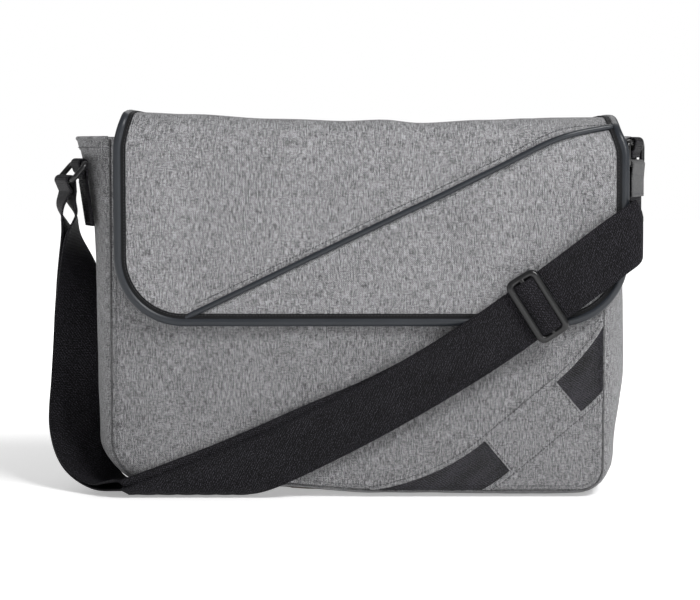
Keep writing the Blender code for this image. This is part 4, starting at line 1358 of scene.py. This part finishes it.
def hairpin(bar, down, out, thickness, legs, apart, steps=12):
    radius = strap["ringBar"] + bag["gap"] + thickness / 2
    outer, inner = legs
    points = [bar + down * outer + out * apart]
    for share in (0.66, 0.33):
        points.append(bar + down * (0.005 + (outer - 0.005) * share) + out * apart)
    points.append(bar + down * 0.005 + out * (apart + radius) / 2)
    for i in range(steps + 1):
        angle = math.pi * i / steps
        points.append(bar + out * radius * math.cos(angle) - down * radius * math.sin(angle))
    points.append(bar + down * 0.006 - out * (apart + radius) / 2)
    for share in (0.2, 0.4, 0.6, 0.8, 1.0):
        points.append(bar + down * (0.006 + (inner - 0.006) * share) - out * apart)
    return points


def ribbonPiece(name, line, across, width, thickness, finish):
    rows = [[p + across * (share * width / 2) for share in shares] for p in line]
    return rowsPiece(name, rows, thickness, finish, width)


def makeTab(name, anchor):
    apart = strap["webbing"] / 2 + bag["gap"] / 2
    legs = (strap["tabFold"], strap["tabLength"])
    line = hairpin(anchor.bar, -anchor.up, anchor.out, strap["webbing"], legs, apart)
    tab = ribbonPiece(name + "Tab", line, anchor.across, strap["tabWidth"], strap["webbing"], webbing)
    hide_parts(name + "_tab")
    half = strap["tabWidth"] / 2 - 0.0025

    def tabFace(a, down, out=0.0):
        apartNow = -apart + strap["webbing"] / 2
        return anchor.bar - anchor.up * down + anchor.across * a + anchor.out * (apartNow + out)

    low, high = strap["tabLength"] - 0.0025, strap["tabFold"] + 0.003
    box = [(-half, high), (half, high), (half, low), (-half, low), (-half, high), (half, low)]
    tracks = [[tuple(Vector(a).lerp(Vector(b), t)) for t in spread(0, 1, 10)] for a, b in zip(box, box[1:])]
    tracks.append([tuple(Vector(box[1]).lerp(Vector(box[3]), t)) for t in spread(0, 1, 10)])
    stitches = stitchPiece(name + "TabStitches", tabFace, tracks, threadDark, radius=0.00035, height=0.0001)
    sewOn([tab, stitches], "bag")


def makeRing(name, anchor):
    half = strap["width"] / 2 + strap["ringRoom"] + strap["ringBar"]
    corner, reach = 0.004, strap["ringReach"]
    middles = (
        (half - corner, reach - corner, 0),
        (-half + corner, reach - corner, 90),
        (-half + corner, corner, 180),
        (half - corner, corner, 270),
    )

    def cornerSpot(across, along, angle):
        spot = anchor.across * (across + corner * math.cos(angle))
        return anchor.bar + spot + anchor.hang * (along + corner * math.sin(angle))

    route = []
    for k, (across, along, start) in enumerate(middles):
        for step in range(8):
            angle = math.radians(start + 90 * step / 7)
            route.append(cornerSpot(across, along, angle))
        following = middles[(k + 1) % 4]
        a, b = route[-1], cornerSpot(following[0], following[1], math.radians(following[2]))
        route += [a.lerp(b, t) for t in (0.2, 0.4, 0.6, 0.8)]
    ring = beadPiece(name + "Ring", route, strap["ringBar"], plastic, sides=16, closed=True)
    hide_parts(name + "_ring")
    sewOn([ring], "ring_" + name)


def curveThrough(points, perSpan):
    points = [Vector(p) for p in points]
    padded = [points[0] * 2 - points[1]] + points + [points[-1] * 2 - points[-2]]
    made = []
    for a, b, c, d in zip(padded, padded[1:], padded[2:], padded[3:]):
        for step in range(perSpan):
            t = step / perSpan
            bend, twist = 2 * a - 5 * b + 4 * c - d, 3 * b - a - 3 * c + d
            made.append(0.5 * ((2 * b) + (c - a) * t + bend * t**2 + twist * t**3))
    made.append(points[-1])
    return made


def wrapped(across, z, front, inner):
    # the flat strap turned round the right side and under the base
    sideX = bag["halfWidth"] + strap["sideX"]
    turnX = sideX - strap["sideTurn"]
    turnZ = strap["floor"] + strap["underTurn"]
    if across > turnX:
        angle = min((across - turnX) / strap["sideTurn"], math.pi / 2)
        past = max(0.0, across - turnX - strap["sideTurn"] * math.pi / 2)
        reach = strap["sideTurn"] - inner
        y = -front + strap["sideTurn"] - reach * math.cos(angle) + past
        return Vector((turnX + reach * math.sin(angle), y, z))
    if z < turnZ:
        angle = min((turnZ - z) / strap["underTurn"], math.pi / 2)
        past = max(0.0, turnZ - z - strap["underTurn"] * math.pi / 2)
        reach = strap["underTurn"] - inner
        y = -front + strap["underTurn"] - reach * math.cos(angle) + past
        return Vector((across, y, turnZ - reach * math.sin(angle)))
    return Vector((across, -front + inner, z))


def standoff(z):
    low, high = 0.0208, 0.113
    return strap["lowFront"] + (strap["front"] - strap["lowFront"]) * ease((z - low) / (high - low))


def frontRows(route, inner, perSpan=10, flip=1.0, slip=None):
    line = curveThrough([(x, z, 0.0) for x, z in route], perSpan)
    rows = []
    for at, here in enumerate(line):
        ahead = (line[min(at + 1, len(line) - 1)] - line[max(at - 1, 0)]).normalized()
        side = Vector((-ahead.y, ahead.x, 0.0))
        if slip:
            here = here + side * (flip * slip(here.x))
        row = []
        for share in shares:
            place = here + side * (flip * share * strap["width"] / 2)
            row.append(wrapped(place.x, place.y, standoff(here.y), inner))
        rows.append(row)
    return rows


def leftRows(anchor, inner, first):
    centre = sum(first, Vector()) / len(first)
    edge = (first[-1] - first[0]).normalized()
    stops = [(centre, edge)]
    stops += [(Vector(place), Vector(side).normalized()) for place, side in leftRoute]
    stops.append((anchor.outerBar + Vector((0.0, 0.0005, -0.008)), -anchor.across))
    places = curveThrough([place for place, _ in stops], 8)
    sides = curveThrough([side for _, side in stops], 8)
    rows = []
    for at, (place, side) in enumerate(zip(places, sides)):
        side = side.normalized()
        ahead = places[min(at + 1, len(places) - 1)] - places[max(at - 1, 0)]
        facing = side.cross(ahead).normalized()
        shift = facing * -inner if at else Vector()
        if inner:  # the inner layer hangs clear of the outer one just below the ring
            shift.x += 0.0085 * math.exp(-(((place.z - 0.205) / 0.012) ** 2))
            shift.z += 0.0014 * math.exp(-(((place.x + 0.176) / 0.010) ** 2))
        rows.append([place + shift + side * (share * strap["width"] / 2) for share in shares])
    return rows


def ringLoop(anchor, outerRow, innerRow):
    mid = len(shares) // 2
    middle = (outerRow[mid] + innerRow[mid]) / 2
    down = (middle - anchor.outerBar).normalized()
    edge = -anchor.across
    out = edge.cross(down).normalized()
    if out.dot(outerRow[mid] - innerRow[mid]) < 0:
        out = -out
    radius = strap["ringBar"] + bag["gap"] + strap["webbing"] / 2
    rows = []
    for step in range(13):
        angle = math.pi * step / 12
        place = anchor.outerBar + out * radius * math.cos(angle) - down * radius * math.sin(angle)
        rows.append([place + edge * (share * strap["width"] / 2) for share in shares])
    return rows


def endRows(anchor, first):
    edge = -anchor.across
    rows = []
    for down in (0.005, 0.009, 0.014, 0.019):
        middle = anchor.outerBar + anchor.hang * down
        rows.append([middle + edge * (share * strap["width"] / 2) for share in shares])
    top = anchor.outerBar + anchor.hang * (strap["sleeve"] + bag["gap"])
    for step in range(14):
        t = step / 14
        row = []
        for at, share in enumerate(shares):
            start = top + edge * (share * strap["width"] / 2)
            leave = start + anchor.hang * 0.005
            row.append(start * (1 - t) ** 2 + leave * (2 * t * (1 - t)) + first[at] * t**2)
        rows.append(row)
    return rows


def bridge(a, b, count):
    # rows between two rows, so that a long gap in the strap is smooth
    return [[p.lerp(q, t) for p, q in zip(a, b)] for t in spread(0, 1, count + 1)[1:-1]]


def makeStrap(left, right):
    upper = frontRows(upperRoute, 0.0)
    outer = list(reversed(upper))
    lowerOuter = frontRows(lowerRoute, 0.0, flip=-1.0)[1:]

    def slip(x):  # the inner layer shows above the outer one as they near the left corner
        return strap["slip"] * ease((0.05 - x) / 0.10)

    lowerInner = frontRows(lowerRoute, strap["pitch"], flip=-1.0, slip=slip)[4:]
    upOuter = leftRows(left, 0.0, lowerOuter[-1])[1:]
    upInner = leftRows(left, strap["pitch"], lowerInner[-1])[1:]
    loop = ringLoop(left, upOuter[-1], upInner[-1])
    rows = endRows(right, outer[0]) + outer + lowerOuter + upOuter + bridge(upOuter[-1], loop[0], 3)
    rows += loop + bridge(loop[-1], upInner[-1], 3) + list(reversed(upInner)) + list(reversed(lowerInner))
    webbingPiece = rowsPiece("strapWebbing", rows, strap["webbing"], webbing, strap["width"])
    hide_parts("strap_webbing")
    sewOn([webbingPiece], "strap")

    apart = strap["webbing"] / 2 + bag["fabric"] / 2 + 2 * bag["gap"]
    legs = (strap["sleeve"], strap["sleeve"])
    line = hairpin(right.outerBar, right.hang, right.hangOut, bag["fabric"], legs, apart)
    width = strap["width"] - 0.0005
    # the sleeve in the darkest grey, painted shade
    sleeve = ribbonPiece("strapEndSleeve", line, right.across, width, bag["fabric"], paintedShadeSleeveGrey)
    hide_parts("strap_end_sleeve")

    def sleeveFace(a, down, out=0.0):
        outside = right.hangOut * (apart + bag["fabric"] / 2 + out)
        return right.outerBar + right.hang * down + right.across * a + outside

    half = strap["width"] / 2 - 0.003
    tracks = [[(a, down) for a in spread(-half, half, 16)] for down in (0.008, strap["sleeve"] - 0.002)]
    stitches = stitchPiece("sleeveStitches", sleeveFace, tracks, threadGrey, height=0.0001)
    sewOn([sleeve, stitches], "strap")
    print("strap made")


def makeSlider():
    look = {
        "length": 0.0258,
        "bar": 0.0056,
        "rail": 0.0038,
        "corner": 0.0034,
        "middleBar": 0.0019,
        "middleOut": 0.0031,
        "hump": 0.0070,
        "level": 0.87,  # it sits a little more level than the strap
    }
    place = Vector((upperRoute[0][0], -strap["front"], upperRoute[0][1]))
    before, after = upperRoute[1], lowerRoute[1]
    ahead = Vector((after[0] - before[0], 0.0, (after[1] - before[1]) * look["level"])).normalized()
    facing = Vector((0.0, -1.0, 0.0))
    across = facing.cross(ahead).normalized()
    half = strap["width"] / 2 + look["rail"] * 0.75
    reach = look["length"] / 2 - look["bar"] / 2

    def at(a, c, out):
        return place + ahead * a + across * c + facing * out

    # the outer frame: a rounded rectangle of moulded bar, its ends over the webbing
    corner = look["corner"]
    route = []
    for start, a, c in ((0, 1, 1), (90, -1, 1), (180, -1, -1), (270, 1, -1)):
        for step in range(6):
            angle = math.radians(start + 90 * step / 5)
            along = a * (reach - corner) + corner * math.cos(angle)
            route.append((along, c * (half - corner) + corner * math.sin(angle)))
    fine = []
    for a, b in zip(route, route[1:] + route[:1]):
        steps = max(1, round(math.dist(a, b) / 0.002))
        fine += [(a[0] + (b[0] - a[0]) * t / steps, a[1] + (b[1] - a[1]) * t / steps) for t in range(steps)]
    line = []
    for a, c in fine:
        onRail = ease((abs(c) - half + corner) / corner)
        line.append(at(a, c, 0.0034 - 0.0012 * onRail * (1 - (a / reach) ** 2)))
    outward = [facing] * len(line)
    rim = beadPiece(
        "sliderFrame", line, look["bar"] / 2, plastic, sides=14, closed=True, flatten=0.78, outward=outward
    )
    # the middle bar, under the hump of webbing, runs from rail to rail
    line = [at(0, c, look["middleOut"]) for c in spread(-half + 0.001, half - 0.001, 20)]
    bar = beadPiece("sliderMiddleBar", line, look["middleBar"], plastic)
    # webbing that climbs over the middle bar and dives under both ends of the frame
    rows = []
    for a in spread(-reach, reach, 28):
        rise = look["hump"] * max(0.0, math.cos(math.pi / 2 * a / reach)) ** 0.9 + 0.0006
        rows.append([at(a, share * (strap["width"] / 2 + 0.0004), rise) for share in shares])
    hump = rowsPiece("sliderWebbing", rows, strap["webbing"], webbing, strap["width"])
    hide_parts("slider")
    sewOn([rim, bar], "slider")
    sewOn([hump], "slider")
    print("slider made")


def makeStudio():
    studio = {"floor": 6.0, "ambient": 0.30, "key": 47.0, "low": 2.0, "fill": 3.0, "rim": 8.0, "glow": 0.34}
    mesh = bpy.data.meshes.new("floor")
    size = studio["floor"]
    corners = [(-size, -size, 0), (size, -size, 0), (size, size, 0), (-size, size, 0)]
    mesh.from_pydata(corners, [], [(0, 1, 2, 3)])
    floor = bpy.data.objects.new("floor", mesh)
    bpy.context.scene.collection.objects.link(floor)
    pale = bpy.data.materials.new("paleFloor")
    pale.use_nodes = True
    shader = pale.node_tree.nodes["Principled BSDF"]
    shader.inputs["Base Color"].default_value = (0.93, 0.93, 0.93, 1)
    shader.inputs["Roughness"].default_value = 0.9
    shader.inputs["Emission Color"].default_value = (1, 1, 1, 1)
    # the floor brightens away from the bag, so that it runs into the white behind
    place = pale.node_tree.nodes.new("ShaderNodeTexCoord")
    far = pale.node_tree.nodes.new("ShaderNodeVectorMath")
    far.operation = "LENGTH"
    pale.node_tree.links.new(place.outputs["Object"], far.inputs[0])
    grow = pale.node_tree.nodes.new("ShaderNodeMapRange")
    grow.interpolation_type = "SMOOTHSTEP"
    for socket, value in (("From Min", 0.25), ("From Max", 1.0), ("To Min", studio["glow"]), ("To Max", 1.0)):
        grow.inputs[socket].default_value = value
    pale.node_tree.links.new(far.outputs["Value"], grow.inputs["Value"])
    pale.node_tree.links.new(grow.outputs[0], shader.inputs["Emission Strength"])
    mesh.materials.append(pale)
    floor.location.z = cadLow.z - 0.0005

    world = bpy.data.worlds.new("studio")
    bpy.context.scene.world = world
    world.use_nodes = True
    tree = world.node_tree
    tree.nodes.clear()
    out = tree.nodes.new("ShaderNodeOutputWorld")
    mix = tree.nodes.new("ShaderNodeMixShader")
    path = tree.nodes.new("ShaderNodeLightPath")
    for k, strength in enumerate((studio["ambient"], 1.0)):
        glow = tree.nodes.new("ShaderNodeBackground")
        glow.inputs["Strength"].default_value = strength
        glow.inputs["Color"].default_value = (1, 1, 1, 1)
        tree.links.new(glow.outputs[0], mix.inputs[1 + k])
    tree.links.new(path.outputs["Is Camera Ray"], mix.inputs[0])
    tree.links.new(mix.outputs[0], out.inputs[0])

    def softbox(name, place, aim, size, power):
        light = bpy.data.lights.new(name, "AREA")
        light.shape = "RECTANGLE"
        light.size, light.size_y = size
        light.energy = power
        made = bpy.data.objects.new(name, light)
        made.location = place
        made.rotation_euler = (Vector(aim) - Vector(place)).to_track_quat("-Z", "Y").to_euler()
        bpy.context.scene.collection.objects.link(made)

    softbox("keyLight", (1.15, -1.35, 1.85), (0, 0, 0.12), (0.8, 0.7), studio["key"])
    softbox("lowLight", (0.7, -1.5, 0.12), (0, 0, 0.08), (1.2, 0.3), studio["low"])
    softbox("fillLight", (-1.6, -1.4, 0.9), (0, 0, 0.12), (1.0, 1.0), studio["fill"])
    softbox("backLight", (0.2, 1.7, 1.5), (0, 0, 0.12), (1.4, 1.0), studio["rim"])

    view = {"target": (-0.0052, -0.0528, 0.1432), "distance": 1.536, "elevation": 4.0, "lens": 109.7}
    camera = bpy.data.cameras.new("camera")
    camera.lens = view["lens"]
    camera.sensor_width = 36
    camera.clip_start, camera.clip_end = 0.05, 50
    made = bpy.data.objects.new("camera", camera)
    tilt = math.radians(view["elevation"])
    back = Vector((0, -math.cos(tilt), math.sin(tilt)))
    made.location = Vector(view["target"]) + back * view["distance"]
    made.rotation_euler = (-back).to_track_quat("-Z", "Y").to_euler()
    bpy.context.scene.collection.objects.link(made)
    bpy.context.scene.camera = made
    bpy.context.scene.view_settings.view_transform = "Standard"
    print("studio made")


makeStudio()
makeBody()
makeAccent()
makeInside()
makeLid()
makeTapes()
leftAnchor = anchorAt(-1, 0.018, 50.0)
rightAnchor = anchorAt(1, 0.003, 4.0)
for side, anchor in (("left", leftAnchor), ("right", rightAnchor)):
    makeTab(side, anchor)
    makeRing(side, anchor)
makeStrap(leftAnchor, rightAnchor)
makeSlider()

print("all pieces made")
